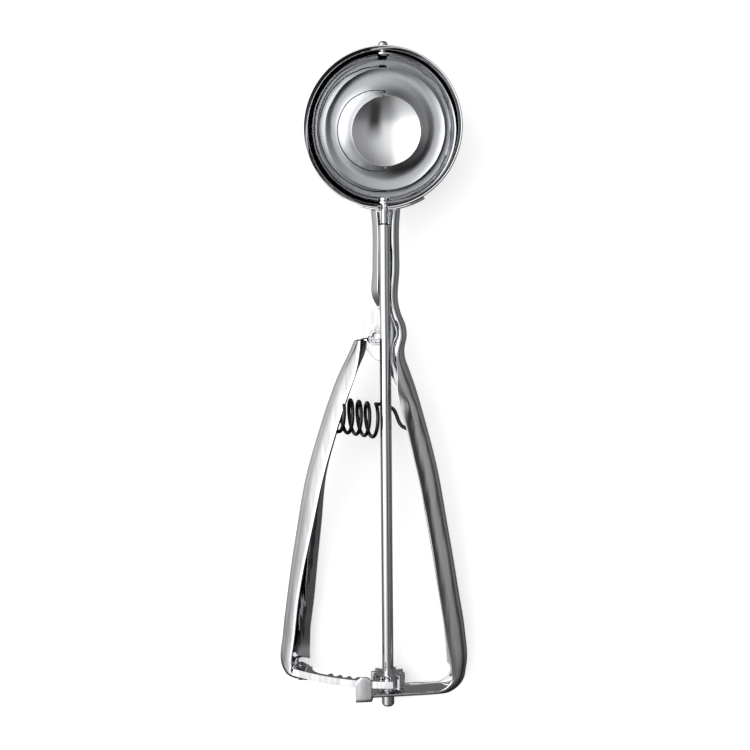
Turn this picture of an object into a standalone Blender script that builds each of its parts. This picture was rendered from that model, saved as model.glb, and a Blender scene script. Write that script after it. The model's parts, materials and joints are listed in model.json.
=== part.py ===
"""Squeeze ice cream scoop: a pressed bowl on a stamped channel frame, a squeeze lever with a toothed
rack, a long rod with a pinion, and a wiper blade that sweeps the bowl.

The scoop is modelled in its own frame: the rod's axis is Y, the bowl opens towards +Z, and the origin
is the centre of the bowl's sphere. One empty then lays it on its back on a table, where it rests on
the bowl's underside and on both handles.
"""

import math

import bmesh
import bpy
import numpy as np
from mathutils import Matrix, Vector

MM = 0.001

# Running and seating gaps
SEAT_GAP = 0.3 * MM
SLIP_GAP = 0.15 * MM

# Bowl
BOWL_INNER_R = 26.6 * MM
BOWL_WALL = 0.8 * MM
COLLAR_HEIGHT = 4.7 * MM
LIP_OVERHANG = 0.7 * MM
LIP_HEIGHT = 1.3 * MM
NOTCH_HALF_WIDTH = 1.75 * MM
FAR_HOLE_GAP = 0.25 * MM

# Saddle between stem and bowl
SADDLE_T = 0.9 * MM
SADDLE_HALF_ANGLE = math.radians(30)
SADDLE_TOP = 2.2 * MM
SADDLE_DEPTH = 9.0 * MM

# Rod and what it carries
ROD_R = 2.05 * MM
ROD_NECK_R = 1.2 * MM
ROD_NECK_LENGTH = 6.2 * MM
ROD_TAIL_R = 1.5 * MM
PINION_TEETH = 10
PINION_HEIGHT = 5.4 * MM
PINION_ABOVE_RACK = 0.7 * MM
THRUST_WASHER_R = 3.6 * MM
THRUST_WASHER_T = 0.6 * MM
CAP_R = 2.3 * MM
CAP_LENGTH = 4.4 * MM

# Rack and mesh
TOOTH_PITCH = 3.4 * MM
PRESSURE_ANGLE = math.radians(25)
ADDENDUM = 0.85 * MM
ROOT_CLEARANCE = 0.3 * MM
BACKLASH = 0.4 * MM
RACK_T = 1.1 * MM
RACK_BACK = 2.2 * MM
RACK_HEEL_END = 2.1 * MM
RACK_HEEL_REAR = 2.0 * MM
RACK_TEETH = 7

# Pivot and lever sweep
PIVOT_X = -3.8 * MM
PIVOT_DROP = 73.2 * MM
RACK_RADIUS = 125.4 * MM
WIPER_SWEEP = math.radians(150)

# Sheet metal
SHEET_T = 1.0 * MM
CHANNEL_REAR = 5.6 * MM
CHANNEL_FRONT = 5.8 * MM
CHANNEL_CORNER = 2.1 * MM
STEM_HALF_WIDTH = 4.7 * MM
STEM_FLARE = 1.5 * MM
STEM_FRONT = 0.4 * MM
STEM_LIP = 1.7 * MM
PIVOT_PLATE_R = 5.2 * MM
HANDLE_SPREAD = 28.8 * MM
HANDLE_REAR_FLANGE = 7.8 * MM
HANDLE_FRONT_FLANGE = 6.5 * MM
FOOT_BEND_R = 9.0 * MM
FOOT_SLOPE = math.radians(3.5)
FOOT_REACH = 10.6 * MM
TAB_WIDTH = 5.8 * MM
TAB_HEIGHT = 9.6 * MM
TAB_T = 1.0 * MM
TAB_GAP = 0.35 * MM

# Lever
LEVER_SPREAD = 38.5 * MM
LEVER_REAR_FLANGE = 8.2 * MM
LEVER_FRONT_FLANGE = 4.8 * MM
EAR_TOP = 9.8 * MM
EAR_RIGHT = 6.0 * MM
EAR_BOTTOM = 9.2 * MM
TOE_OFFSET = 2.6 * MM
TOE_INNER_X = 29.6 * MM
TOE_BEND_R = 4.5 * MM

# Fasteners
PIVOT_SHANK_R = 1.9 * MM
PIVOT_HEAD_R = 2.85 * MM
PIVOT_HEAD_T = 0.4 * MM
PIVOT_REAR_HEAD_T = 0.9 * MM
PIVOT_WASHER_R = 3.65 * MM
PIVOT_WASHER_T = 0.25 * MM
RACK_RIVET_R = 1.1 * MM
RACK_RIVET_HEAD_R = 1.9 * MM
RACK_RIVET_HEAD_T = 0.6 * MM
RACK_RIVET_X = 31.8 * MM
RACK_RIVET_Z = 2.4 * MM

# Wiper
BLADE_T = 0.6 * MM
BLADE_GAP = 0.35 * MM
BLADE_HALF_WIDTH = 4.0 * MM
BLADE_END_HALF_WIDTH = 2.3 * MM
BLADE_REST = math.radians(21)
HUB_R = 2.2 * MM
HUB_LENGTH = 2.4 * MM
FAR_PIN_R = 1.2 * MM
FAR_PIN_HEAD_R = 1.75 * MM
FAR_PIN_HEAD_LENGTH = 2.5 * MM
FAR_PIN_INNER_HEAD_R = 2.0 * MM
FAR_PIN_INNER_HEAD_T = 0.8 * MM

# Spring
WIRE_R = 0.68 * MM
COIL_R = 6.1 * MM
COIL_DROP = 30.6 * MM
COIL_Z = -0.8 * MM
COIL_LEFT = 15.6 * MM
COIL_PITCH = 3.3 * MM
COIL_TURNS = 4
CURL_POINTS = 10

# What follows from the sizes above
BOWL_OUTER_R = BOWL_INNER_R + BOWL_WALL
PINION_PITCH_R = PINION_TEETH * TOOTH_PITCH / math.tau
RACK_STEP = TOOTH_PITCH / RACK_RADIUS
PINION_RATIO = math.tau / PINION_TEETH / RACK_STEP
LEVER_SWEEP = WIPER_SWEEP / PINION_RATIO
RACK_CENTRE_ANGLE = math.asin(-PIVOT_X / RACK_RADIUS)
RACK_Y = -PIVOT_DROP - RACK_RADIUS * math.cos(RACK_CENTRE_ANGLE)
PINION_TOP = RACK_Y + RACK_T / 2 + PINION_ABOVE_RACK
PINION_BOTTOM = PINION_TOP - PINION_HEIGHT
WASHER_BOTTOM = PINION_BOTTOM - SLIP_GAP - THRUST_WASHER_T
FOOT_TOP = WASHER_BOTTOM - SEAT_GAP - THRUST_WASHER_R * math.tan(FOOT_SLOPE)
FOOT_BOTTOM = FOOT_TOP - SHEET_T
CAP_TOP = FOOT_BOTTOM - SEAT_GAP - CAP_R * math.tan(FOOT_SLOPE)
RACK_TIP_Z = PINION_PITCH_R - ADDENDUM
RACK_ROOT_Z = PINION_PITCH_R + ADDENDUM + ROOT_CLEARANCE
RACK_FRONT_Z = RACK_ROOT_Z + RACK_BACK
TAB_REAR_Z = RACK_FRONT_Z + TAB_GAP
EAR_REAR_Z = -CHANNEL_REAR + SHEET_T + SEAT_GAP
EAR_FRONT_Z = EAR_REAR_Z + SHEET_T
BLADE_OUTER_R = BOWL_INNER_R - BLADE_GAP
BLADE_INNER_R = BLADE_OUTER_R - BLADE_T
SADDLE_OUTER_R = BOWL_OUTER_R + SEAT_GAP + SADDLE_T
HANDLE_DROP = -FOOT_BOTTOM - PIVOT_DROP


def clear_scene():
    for thing in list(bpy.data.objects):
        bpy.data.objects.remove(thing, do_unlink=True)


def collection(name):
    made = bpy.data.collections.new(name)
    bpy.context.scene.collection.children.link(made)
    return made


def steel(name, grey, roughness):
    made = bpy.data.materials.new(name)
    made.use_nodes = True
    shader = made.node_tree.nodes["Principled BSDF"]
    shader.inputs["Base Color"].default_value = (grey, grey, grey * 1.01, 1)
    shader.inputs["Metallic"].default_value = 1.0
    shader.inputs["Roughness"].default_value = roughness
    return made


def empty(name, parent=None, location=(0, 0, 0)):
    made = bpy.data.objects.new(name, None)
    parts.objects.link(made)
    made.parent = parent
    made.location = location
    return made


def mesh_object(name, mesh, parent=None, material=None, cutter=False):
    made = bpy.data.objects.new(name, mesh)
    (cutters if cutter else parts).objects.link(made)
    made.parent = parent
    if material:
        mesh.materials.append(material)
    if cutter:
        made.hide_render = True
        made.display_type = "WIRE"
    return made


def smooth_round(mesh, angle=35):
    mesh.shade_smooth()
    mesh.set_sharp_from_angle(angle=math.radians(angle))


def loft(name, sections, parent=None, material=None, cutter=False):
    """Joins rings of as many points each by quads and closes both ends."""
    mesh = bpy.data.meshes.new(name)
    shape = bmesh.new()
    rings = [[shape.verts.new(point) for point in ring] for ring in sections]
    for near, far in zip(rings, rings[1:]):
        for index in range(len(near)):
            following = (index + 1) % len(near)
            shape.faces.new((near[index], near[following], far[following], far[index]))
    shape.faces.new(rings[0])
    shape.faces.new(rings[-1])
    bmesh.ops.recalc_face_normals(shape, faces=shape.faces)
    shape.to_mesh(mesh)
    shape.free()
    smooth_round(mesh)
    return mesh_object(name, mesh, parent, material, cutter)


def turned(name, profile, parent=None, material=None, segments=24, closed=False, cutter=False):
    """Turns a profile of (radius, height) about the object's Z axis.

    A closed profile makes a ring. An open one starts and ends on the axis.
    """
    mesh = bpy.data.meshes.new(name)
    shape = bmesh.new()
    points = [shape.verts.new((radius, 0, height)) for radius, height in profile]
    pairs = list(zip(points, points[1:]))
    if closed:
        pairs.append((points[-1], points[0]))
    for pair in pairs:
        shape.edges.new(pair)
    shape.to_mesh(mesh)
    shape.free()
    made = mesh_object(name, mesh, parent, material, cutter)
    screw = made.modifiers.new("turn", "SCREW")
    screw.steps = screw.render_steps = segments
    screw.use_merge_vertices = True
    screw.merge_threshold = 0.00001
    screw.use_smooth_shade = True
    return made


def along_rod(thing, y=0.0):
    """Turns an object's Z axis onto the rod's axis, at the height y on it."""
    thing.location = (0, y, 0)
    thing.rotation_euler = (-math.pi / 2, 0, 0)
    return thing


def plate(name, outline, low, high, parent=None, material=None, cutter=False):
    """A flat outline in the XY plane, filled and given its thickness from low to high."""
    curve = bpy.data.curves.new(name, "CURVE")
    curve.dimensions = "2D"
    curve.fill_mode = "BOTH"
    curve.extrude = (high - low) / 2
    spline = curve.splines.new("POLY")
    spline.points.add(len(outline) - 1)
    for point, (x, y) in zip(spline.points, outline):
        point.co = (x, y, 0, 1)
    spline.use_cyclic_u = True
    guide = bpy.data.objects.new(name + "_outline", curve)
    cutters.objects.link(guide)
    guide.location.z = (high + low) / 2
    bpy.context.view_layer.update()
    return as_mesh(name, guide, parent, material, cutter)


def as_mesh(name, curve_object, parent, material, cutter=False):
    """Makes a curve a mesh with its caps welded, and removes the curve."""
    depsgraph = bpy.context.evaluated_depsgraph_get()
    mesh = bpy.data.meshes.new_from_object(curve_object.evaluated_get(depsgraph))
    mesh.transform(curve_object.matrix_world)
    mesh.name = name
    shape = bmesh.new()
    shape.from_mesh(mesh)
    bmesh.ops.remove_doubles(shape, verts=shape.verts, dist=0.00001)
    bmesh.ops.recalc_face_normals(shape, faces=shape.faces)
    shape.to_mesh(mesh)
    shape.free()
    mesh.materials.clear()
    smooth_round(mesh)
    bpy.data.objects.remove(curve_object, do_unlink=True)
    return mesh_object(name, mesh, parent, material, cutter)


def combine(thing, tool, operation):
    step = thing.modifiers.new(tool.name, "BOOLEAN")
    step.operation = operation
    step.solver = "EXACT"
    step.object = tool


def arc(centre, radius, start, end, steps):
    """Points on a circle from one angle to another, in degrees."""
    angles = np.radians(np.linspace(start, end, steps + 1))
    return [(centre[0] + radius * math.cos(a), centre[1] + radius * math.sin(a)) for a in angles]


def smooth_rows(rows, longest):
    """Fills in rows of values along a smooth curve, with no step longer than the given length."""
    rows = np.array(rows, float)
    steps = np.linalg.norm(np.diff(rows[:, :2], axis=0), axis=1)
    places = np.concatenate([[0], np.cumsum(steps)])
    slopes = np.gradient(rows, places, axis=0)
    filled = []
    for index, step in enumerate(steps):
        count = max(1, math.ceil(step / longest))
        for part in np.arange(count) / count:
            keep = 1 - 3 * part**2 + 2 * part**3
            leave = part * (1 - part) ** 2 * step
            arrive = part**2 * (part - 1) * step
            filled.append(
                keep * rows[index] + (1 - keep) * rows[index + 1]
                + leave * slopes[index] + arrive * slopes[index + 1]
            )
    filled.append(rows[-1])
    return filled


def channel_section(x, y, inward, rear_z, front_z, rear_width, front_width, corner):
    """The outline of a bent sheet: rear flange, web and front flange, with rounded corners.

    The web's outer face stands at (x, y), and the flanges run from it in the direction inward.
    """
    across = Vector((math.cos(inward), math.sin(inward), 0))
    base = Vector((x, y, 0))

    def at(depth, z):
        return base + across * depth + Vector((0, 0, z))

    def bend(radius, middle_z, start, end):
        return [at(depth, z) for depth, z in arc((corner, middle_z), radius, start, end, 3)]

    outer = [at(rear_width, rear_z)]
    outer += bend(corner, rear_z + corner, 270, 180)
    outer += bend(corner, front_z - corner, 180, 90)
    outer.append(at(front_width, front_z))
    inner = [at(front_width, front_z - SHEET_T)]
    inner += bend(corner - SHEET_T, front_z - corner, 90, 180)
    inner += bend(corner - SHEET_T, rear_z + corner, 180, 270)
    inner.append(at(rear_width, rear_z + SHEET_T))
    return outer + inner


def bowl_outside(grow):
    """Half the bowl's outside, larger by grow, as a closed profile about the axis of its sphere."""
    radius = BOWL_OUTER_R + grow
    top = [(0, 3 * COLLAR_HEIGHT), (radius, 3 * COLLAR_HEIGHT)]
    return top + arc((0, 0), radius, 0, -84, 10) + [(0, -radius)]


def build_bowl():
    rim = COLLAR_HEIGHT
    lip = BOWL_OUTER_R + LIP_OVERHANG
    profile = [(BOWL_INNER_R + 0.25 * MM, rim), (lip - 0.3 * MM, rim), (lip, rim - 0.3 * MM)]
    profile += [(lip, rim - LIP_HEIGHT), (BOWL_OUTER_R, rim - LIP_HEIGHT - 0.5 * MM)]
    profile += arc((0, 0), BOWL_OUTER_R, 0, -84, 9) + [(0, -BOWL_OUTER_R)]
    inside = arc((0, 0), BOWL_INNER_R, 0, -84, 9)[::-1]
    profile += [(0, -BOWL_INNER_R)] + inside + [(BOWL_INNER_R, rim - 0.25 * MM)]
    return bowl_cuts(turned("bowl", from_pole_to_pole(profile), scoop, polished, segments=56))


def from_pole_to_pole(profile):
    """Reorders a closed skin so that it starts at its inner pole and ends at its outer one."""
    pole = profile.index((0, -BOWL_OUTER_R))
    return profile[pole + 1:] + profile[:pole + 1]


def bowl_cuts(bowl):
    hole = along_rod(rod_cutter("far_pin_hole", FAR_PIN_R + FAR_HOLE_GAP), BOWL_OUTER_R)
    combine(bowl, hole, "DIFFERENCE")
    combine(bowl, notch, "DIFFERENCE")
    return bowl


def rod_cutter(name, radius):
    reach = 4 * MM
    return turned(name, [(0, reach), (radius, reach), (radius, -reach), (0, -reach)], scoop,
                  segments=20, cutter=True)


def build_notch():
    """A slot for the rod's neck, round at the bottom, open at the rim, through bowl and saddle."""
    half = NOTCH_HALF_WIDTH
    outline = [(half, 2 * COLLAR_HEIGHT)] + arc((0, 0), half, 0, -180, 10) + [(-half, 2 * COLLAR_HEIGHT)]
    made = plate("rod_notch", outline, -5 * MM, 5 * MM, scoop, cutter=True)
    made.rotation_euler = (math.pi / 2, 0, 0)
    made.location = (0, -BOWL_OUTER_R, 0)
    return made


def bowl_radius(radius, z):
    """The bowl's radius at height z: a cylinder above the sphere's centre, the sphere below it."""
    return radius if z > 0 else math.sqrt(radius**2 - z**2)


def build_saddle():
    """A band that wraps the near side of the bowl, below its lip."""
    inner_r = BOWL_OUTER_R + SEAT_GAP
    sections = []
    for side in np.linspace(-1, 1, 15):
        turn = side * SADDLE_HALF_ANGLE
        taper = 1 - 0.45 * max(0.0, abs(side) - 0.55) / 0.45
        heights = [z * taper for z in np.linspace(SADDLE_TOP, -SADDLE_DEPTH, 7)]
        ring = [(bowl_radius(inner_r, z), z) for z in heights]
        ring += [(bowl_radius(SADDLE_OUTER_R, z), z) for z in reversed(heights)]
        sections.append([(radius * math.sin(turn), -radius * math.cos(turn), z) for radius, z in ring])
    made = loft("bowl_saddle", sections, scoop, polished)
    combine(made, notch, "DIFFERENCE")
    return made


def frame_rows():
    """The frame's outer edge and widths, from the bowl down the stem and right handle and round the foot.

    Each row holds x, y, the direction of the flanges, the front's height, the widths of the rear and
    front flanges, and the bend radius.
    """
    pivot_y = -PIVOT_DROP
    across = math.pi
    stem_corner = 1.3 * MM
    start_y = -BOWL_OUTER_R + 2 * MM
    flare = STEM_HALF_WIDTH + STEM_FLARE
    rows = []

    def row(x, y, base_edge, front_z, front_width, corner):
        rows.append((x, y, across, front_z, x - base_edge, front_width, corner))

    row(flare, start_y, -flare, STEM_FRONT, STEM_LIP, stem_corner)
    row(flare - 0.3 * MM, start_y - 3 * MM, -flare + 0.3 * MM, STEM_FRONT, STEM_LIP, stem_corner)
    row(STEM_HALF_WIDTH, start_y - 8 * MM, -STEM_HALF_WIDTH, STEM_FRONT, STEM_LIP, stem_corner)
    row(STEM_HALF_WIDTH, (start_y + pivot_y) / 2, -STEM_HALF_WIDTH, STEM_FRONT, STEM_LIP, stem_corner)
    waist = STEM_HALF_WIDTH - 0.4 * MM
    row(waist, pivot_y + 11 * MM, -STEM_HALF_WIDTH, STEM_FRONT, STEM_LIP, stem_corner)
    bulge = STEM_HALF_WIDTH + 2.5 * MM
    row(waist + 0.9 * MM, pivot_y + 7.5 * MM, -6.2 * MM, STEM_FRONT, STEM_LIP, stem_corner)
    row(bulge - 0.4 * MM, pivot_y + 3.5 * MM, -7.2 * MM, 0.9 * MM, STEM_LIP, stem_corner)
    row(bulge, pivot_y, -7.6 * MM, 1.5 * MM, STEM_LIP, stem_corner)
    row(bulge - 0.9 * MM, pivot_y - 5.5 * MM, -6.8 * MM, 2.6 * MM, 1.9 * MM, 1.5 * MM)
    row(bulge - 0.7 * MM, pivot_y - 8 * MM, -4.3 * MM, 3.3 * MM, 2.2 * MM, 1.7 * MM)
    row(bulge + 0.7 * MM, pivot_y - 12 * MM, -0.6 * MM, 4.3 * MM, 3.2 * MM, 1.9 * MM)
    corner = CHANNEL_CORNER
    widths = (HANDLE_REAR_FLANGE, HANDLE_FRONT_FLANGE)
    for down, out, rear_share, front_share in HANDLE_BOW:
        x = HANDLE_SPREAD * out
        y = pivot_y - HANDLE_DROP * down
        rows.append((x, y, across, CHANNEL_FRONT, widths[0] * rear_share, widths[1] * front_share, corner))
    rows += foot_rows()
    return rows


# The right handle's bow: share of the drop, share of the spread, and shares of the flange widths
HANDLE_BOW = (
    (0.15, 0.375, 0.85, 0.93),
    (0.25, 0.505, 0.93, 1.0),
    (0.38, 0.650, 1.0, 1.03),
    (0.50, 0.745, 1.0, 0.97),
    (0.61, 0.830, 1.0, 0.97),
    (0.72, 0.910, 1.0, 1.0),
    (0.82, 0.980, 1.0, 1.0),
)


def foot_rows():
    """The bend at the handle's end and the foot plate, whose flanges are trimmed to its edges."""
    flat = 1.35 * MM
    thin = 1.3 * MM
    centre_x = HANDLE_SPREAD - FOOT_BEND_R
    centre_y = foot_height(centre_x) + FOOT_BEND_R
    rows = []
    for turn, share in ((0, 0.92), (25, 0.75), (50, 0.5), (72, 0.28), (90 + math.degrees(FOOT_SLOPE), 0)):
        angle = math.radians(-turn)
        rear = flat + (HANDLE_REAR_FLANGE - flat) * share
        front = flat + (HANDLE_FRONT_FLANGE - flat) * share * 0.8
        corner = thin + (CHANNEL_CORNER - thin) * min(1.0, 2 * share)
        x = centre_x + FOOT_BEND_R * math.cos(angle)
        y = centre_y + FOOT_BEND_R * math.sin(angle)
        rows.append((x, y, angle + math.pi, CHANNEL_FRONT, rear, front, corner))
    inward = math.pi / 2 - FOOT_SLOPE
    for x in (0.5 * centre_x, 0, -FOOT_REACH):
        rows.append((x, foot_height(x), inward, CHANNEL_FRONT, flat, flat, thin))
    return rows


def foot_height(x):
    """The underside of the foot plate, which slopes down towards its free end."""
    return FOOT_BOTTOM + x * math.tan(FOOT_SLOPE)


def channel(name, rows, rear_z, longest, parent, material, cutter=False):
    sections = []
    for x, y, inward, front_z, rear_width, front_width, corner in smooth_rows(rows, longest):
        height = rear_z(y) if callable(rear_z) else rear_z
        sections.append(channel_section(x, y, inward, height, front_z, rear_width, front_width, corner))
    return loft(name, sections, parent, material, cutter)


def build_frame():
    frame = channel("frame", frame_rows(), -CHANNEL_REAR, 4.5 * MM, scoop, polished)
    combine(frame, stem_left_flange(), "UNION")
    centre = (PIVOT_X, -PIVOT_DROP)
    disc = plate("pivot_plate", arc(centre, PIVOT_PLATE_R, 0, 352.5, 47), -CHANNEL_REAR,
                 -CHANNEL_REAR + SHEET_T, scoop, cutter=True)
    combine(frame, disc, "UNION")
    combine(frame, guide_tab(), "UNION")
    shell = turned("bowl_clearance", bowl_outside(SEAT_GAP + SADDLE_T + SEAT_GAP), scoop,
                   segments=56, cutter=True)
    combine(frame, shell, "DIFFERENCE")
    combine(frame, along_rod(rod_cutter("foot_hole", ROD_TAIL_R + SEAT_GAP), FOOT_BOTTOM), "DIFFERENCE")
    combine(frame, pivot_hole("frame_pivot_hole"), "DIFFERENCE")
    return frame


def stem_left_flange():
    """The stem's left side, which runs down to a point above the pivot plate."""
    side = STEM_HALF_WIDTH
    flare = side + STEM_FLARE
    top = -BOWL_OUTER_R + 2 * MM
    end = -PIVOT_DROP + 10.4 * MM
    overlap = 3 * MM
    rows = [
        (-side, end, 0, -CHANNEL_REAR + 2.7 * MM, overlap, 1.4 * MM, 1.3 * MM),
        (-side, end + 8 * MM, 0, STEM_FRONT - 0.5 * MM, overlap, STEM_LIP, 1.3 * MM),
        (-side, end + 14 * MM, 0, STEM_FRONT, overlap, STEM_LIP, 1.3 * MM),
        (-side, top - 8 * MM, 0, STEM_FRONT, overlap, STEM_LIP, 1.3 * MM),
        (-flare + 0.3 * MM, top - 3 * MM, 0, STEM_FRONT, overlap, STEM_LIP, 1.3 * MM),
        (-flare, top, 0, STEM_FRONT, overlap, STEM_LIP, 1.3 * MM),
    ]
    return channel("stem_left_flange", rows, -CHANNEL_REAR, 6 * MM, scoop, None, cutter=True)


def guide_tab():
    """The tongue at the foot's free end, bent up in front of the rack and rounded at its top."""
    thick = SHEET_T
    inner_z = CHANNEL_FRONT - 2 * MM
    outer_z = TAB_REAR_Z + TAB_T
    bend = 1.4 * MM
    path = [(inner_z, 0), (outer_z - bend, 0)]
    path += arc((outer_z - bend, bend), bend, -72, 0, 4)
    path += [(outer_z, TAB_HEIGHT * share) for share in (0.5, 0.75, 0.88, 0.96, 1.0)]
    inner = [(inner_z, thick), (outer_z - bend, thick)]
    inner += arc((outer_z - bend, bend), bend - TAB_T, -72, 0, 4)
    inner += [(outer_z - TAB_T, TAB_HEIGHT * share) for share in (0.5, 0.75, 0.88, 0.96, 1.0)]
    half = TAB_WIDTH / 2
    round_r = half - 0.6 * MM
    middle = -FOOT_REACH + half
    sections = []
    for (z_out, up_out), (z_in, up_in) in zip(path, inner):
        reach = max(0.0, up_out - (TAB_HEIGHT - round_r)) / round_r
        wide = half - round_r + round_r * math.sqrt(max(0.0, 1 - (0.96 * reach) ** 2))
        ring = []
        for side, z, up in ((-1, z_out, up_out), (1, z_out, up_out), (1, z_in, up_in), (-1, z_in, up_in)):
            x = middle + side * wide
            ring.append((x, foot_height(x) + up, z))
        sections.append(ring)
    return loft("guide_tab", sections, scoop, None, cutter=True)


def pivot_hole(name):
    radius = PIVOT_SHANK_R + SLIP_GAP
    reach = 2 * CHANNEL_REAR
    made = turned(name, [(0, 0), (radius, 0), (radius, -reach), (0, -reach)], scoop,
                  segments=24, cutter=True)
    made.location = (PIVOT_X, -PIVOT_DROP, 0)
    return made


# The lever's bow: share of the drop, share of the spread, and shares of the flange widths
LEVER_BOW = (
    (0.86, 0.990, 0.92, 0.93),
    (0.78, 0.957, 1.0, 0.90),
    (0.67, 0.905, 1.02, 0.84),
    (0.56, 0.845, 0.95, 1.0),
    (0.40, 0.745, 0.75, 1.25),
    (0.28, 0.630, 0.72, 1.15),
    (0.18, 0.520, 0.70, 1.0),
    (0.10, 0.415, 0.66, 0.93),
    (0.045, 0.325, 0.60, 0.60),
    (0.012, 0.278, 0.46, 0.46),
)


def lever_rows():
    """The lever's outer edge and widths, from its toe up to the pivot, as places under the scoop."""
    toe_r = RACK_RADIUS + RACK_T / 2 + TOE_OFFSET + SHEET_T
    rows = []

    def toe_point(x):
        turn = math.asin((x + PIVOT_X) / toe_r)
        return -x, -PIVOT_DROP - toe_r * math.cos(turn), turn

    flat = 1.9 * MM
    for x in (TOE_INNER_X, (TOE_INNER_X + LEVER_SPREAD - TOE_BEND_R) / 2):
        left, y, turn = toe_point(x)
        rows.append((left, y, math.pi / 2 - turn, CHANNEL_FRONT, flat, flat, 1.5 * MM))
    left, y, turn = toe_point(LEVER_SPREAD - TOE_BEND_R)
    centre = (left, y + TOE_BEND_R)
    for angle, share in ((250, 0.1), (225, 0.3), (200, 0.55)):
        x = centre[0] + TOE_BEND_R * math.cos(math.radians(angle))
        y = centre[1] + TOE_BEND_R * math.sin(math.radians(angle))
        rear = flat + (LEVER_REAR_FLANGE - flat) * share
        front = flat + (LEVER_FRONT_FLANGE - flat) * share
        rows.append((x, y, math.radians(angle - 180), CHANNEL_FRONT, rear, front, CHANNEL_CORNER))
    for down, out, rear_share, front_share in LEVER_BOW:
        y = -PIVOT_DROP - RACK_RADIUS * down
        rows.append((-LEVER_SPREAD * out, y, 0, CHANNEL_FRONT, LEVER_REAR_FLANGE * rear_share,
                     LEVER_FRONT_FLANGE * front_share, min(CHANNEL_CORNER, 1.7 * MM)))
    return rows


def lever_rear(y):
    """The rear flange steps forward near the pivot, into the plane of the ear."""
    below = (-PIVOT_DROP - 9 * MM - y) / (9 * MM)
    ease = min(1.0, max(0.0, below))
    ease = ease * ease * (3 - 2 * ease)
    return EAR_REAR_Z + (-CHANNEL_REAR - EAR_REAR_Z) * ease


def ear_outline():
    """The flat ear: a rounded plate from the web, round the pivot, to behind the rod."""
    x, y = PIVOT_X, -PIVOT_DROP
    rows = [
        (x + 0.8 * MM, y + EAR_TOP, 0),
        (x - 3.4 * MM, y + EAR_TOP - 2.4 * MM, 0),
        (x - 5.4 * MM, y + EAR_TOP - 6.1 * MM, 0),
        (x - 6.0 * MM, y, 0),
        (x - 6.2 * MM, y - 3.0 * MM, 0),
        (x - 3.6 * MM, y - 5.2 * MM, 0),
        (x + 0.7 * MM, y - EAR_BOTTOM, 0),
        (x + 4.2 * MM, y - EAR_BOTTOM, 0),
        (x + EAR_RIGHT, y - 3 * MM, 0),
        (x + EAR_RIGHT, y + 3 * MM, 0),
        (x + 4.2 * MM, y + EAR_TOP - 1.6 * MM, 0),
        (x + 0.8 * MM, y + EAR_TOP, 0),
    ]
    return [(row[0], row[1]) for row in smooth_rows(rows, 1.6 * MM)[:-1]]


def build_lever():
    shape = channel("lever", lever_rows(), lever_rear, 4.5 * MM, None, polished)
    ear = plate("lever_ear", ear_outline(), EAR_REAR_Z, EAR_FRONT_Z, None, cutter=True)
    to_pivot = Matrix.Translation((-PIVOT_X, PIVOT_DROP, 0))
    for thing in (shape, ear):
        thing.data.transform(to_pivot)
        thing.parent = lever_pivot
    combine(shape, ear, "UNION")
    combine(shape, pivot_hole("lever_pivot_hole"), "DIFFERENCE")
    combine(shape, rivet_hole, "DIFFERENCE")
    return shape


def build_rivet_hole():
    """The bore for the rack's rivet, through rack and toe."""
    radius = RACK_RIVET_R + SLIP_GAP
    top = 3 * MM
    bottom = -TOE_OFFSET - SHEET_T - 3 * MM
    hole = turned("rivet_hole", [(0, top), (radius, top), (radius, bottom), (0, bottom)], lever_pivot,
                  segments=16, cutter=True)
    return at_rack_rivet(hole, RACK_RADIUS)


def at_rack_rivet(thing, radius):
    """Places an object on the line from the pivot through the rack's rivet, its Z axis along the line."""
    turn = math.asin((RACK_RIVET_X + PIVOT_X) / RACK_RADIUS)
    thing.location = (-radius * math.sin(turn), -radius * math.cos(turn), RACK_RIVET_Z)
    thing.rotation_euler = (
        Matrix.Rotation(-turn, 3, "Z") @ Matrix.Rotation(-math.pi / 2, 3, "X")
    ).to_euler()
    return thing


def build_rack():
    """A strip curved about the pivot, with straight-sided teeth on its rear edge."""
    half_at_pitch = TOOTH_PITCH / 4 - BACKLASH / 4
    slant = math.tan(PRESSURE_ANGLE)
    tip_half = half_at_pitch - ADDENDUM * slant
    root_half = half_at_pitch + (ADDENDUM + ROOT_CLEARANCE) * slant
    first = -TOOTH_PITCH * (RACK_TEETH - 1) - root_half
    heel = RACK_RADIUS * (-math.asin((RACK_RIVET_X + PIVOT_X) / RACK_RADIUS) - RACK_CENTRE_ANGLE)
    heel_rear = RACK_RIVET_Z - RACK_HEEL_REAR
    columns = [(heel + shift * MM, heel_rear) for shift in (-RACK_HEEL_END / MM, 0, 2.1)]
    columns += [(heel + 3.6 * MM, heel_rear + 2.2 * MM), (first - 2.2 * MM, RACK_ROOT_Z - 0.5 * MM)]
    columns.append((first - 0.8 * MM, RACK_ROOT_Z))
    for tooth in range(RACK_TEETH - 1, -1, -1):
        middle = -TOOTH_PITCH * tooth
        columns += [(middle - root_half, RACK_ROOT_Z), (middle - tip_half, RACK_TIP_Z),
                    (middle + tip_half, RACK_TIP_Z), (middle + root_half, RACK_ROOT_Z)]
    columns.append((1.3 * TOOTH_PITCH / 2 + root_half / 2, RACK_ROOT_Z))
    sections = []
    for along, rear in columns:
        turn = RACK_CENTRE_ANGLE + along / RACK_RADIUS
        ring = []
        for radius, z in ((RACK_RADIUS - RACK_T / 2, rear), (RACK_RADIUS + RACK_T / 2, rear),
                          (RACK_RADIUS + RACK_T / 2, RACK_FRONT_Z), (RACK_RADIUS - RACK_T / 2, RACK_FRONT_Z)):
            ring.append((radius * math.sin(turn), -radius * math.cos(turn), z))
        sections.append(ring)
    combine(loft("rack", sections, lever_pivot, polished), rivet_hole, "DIFFERENCE")


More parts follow.
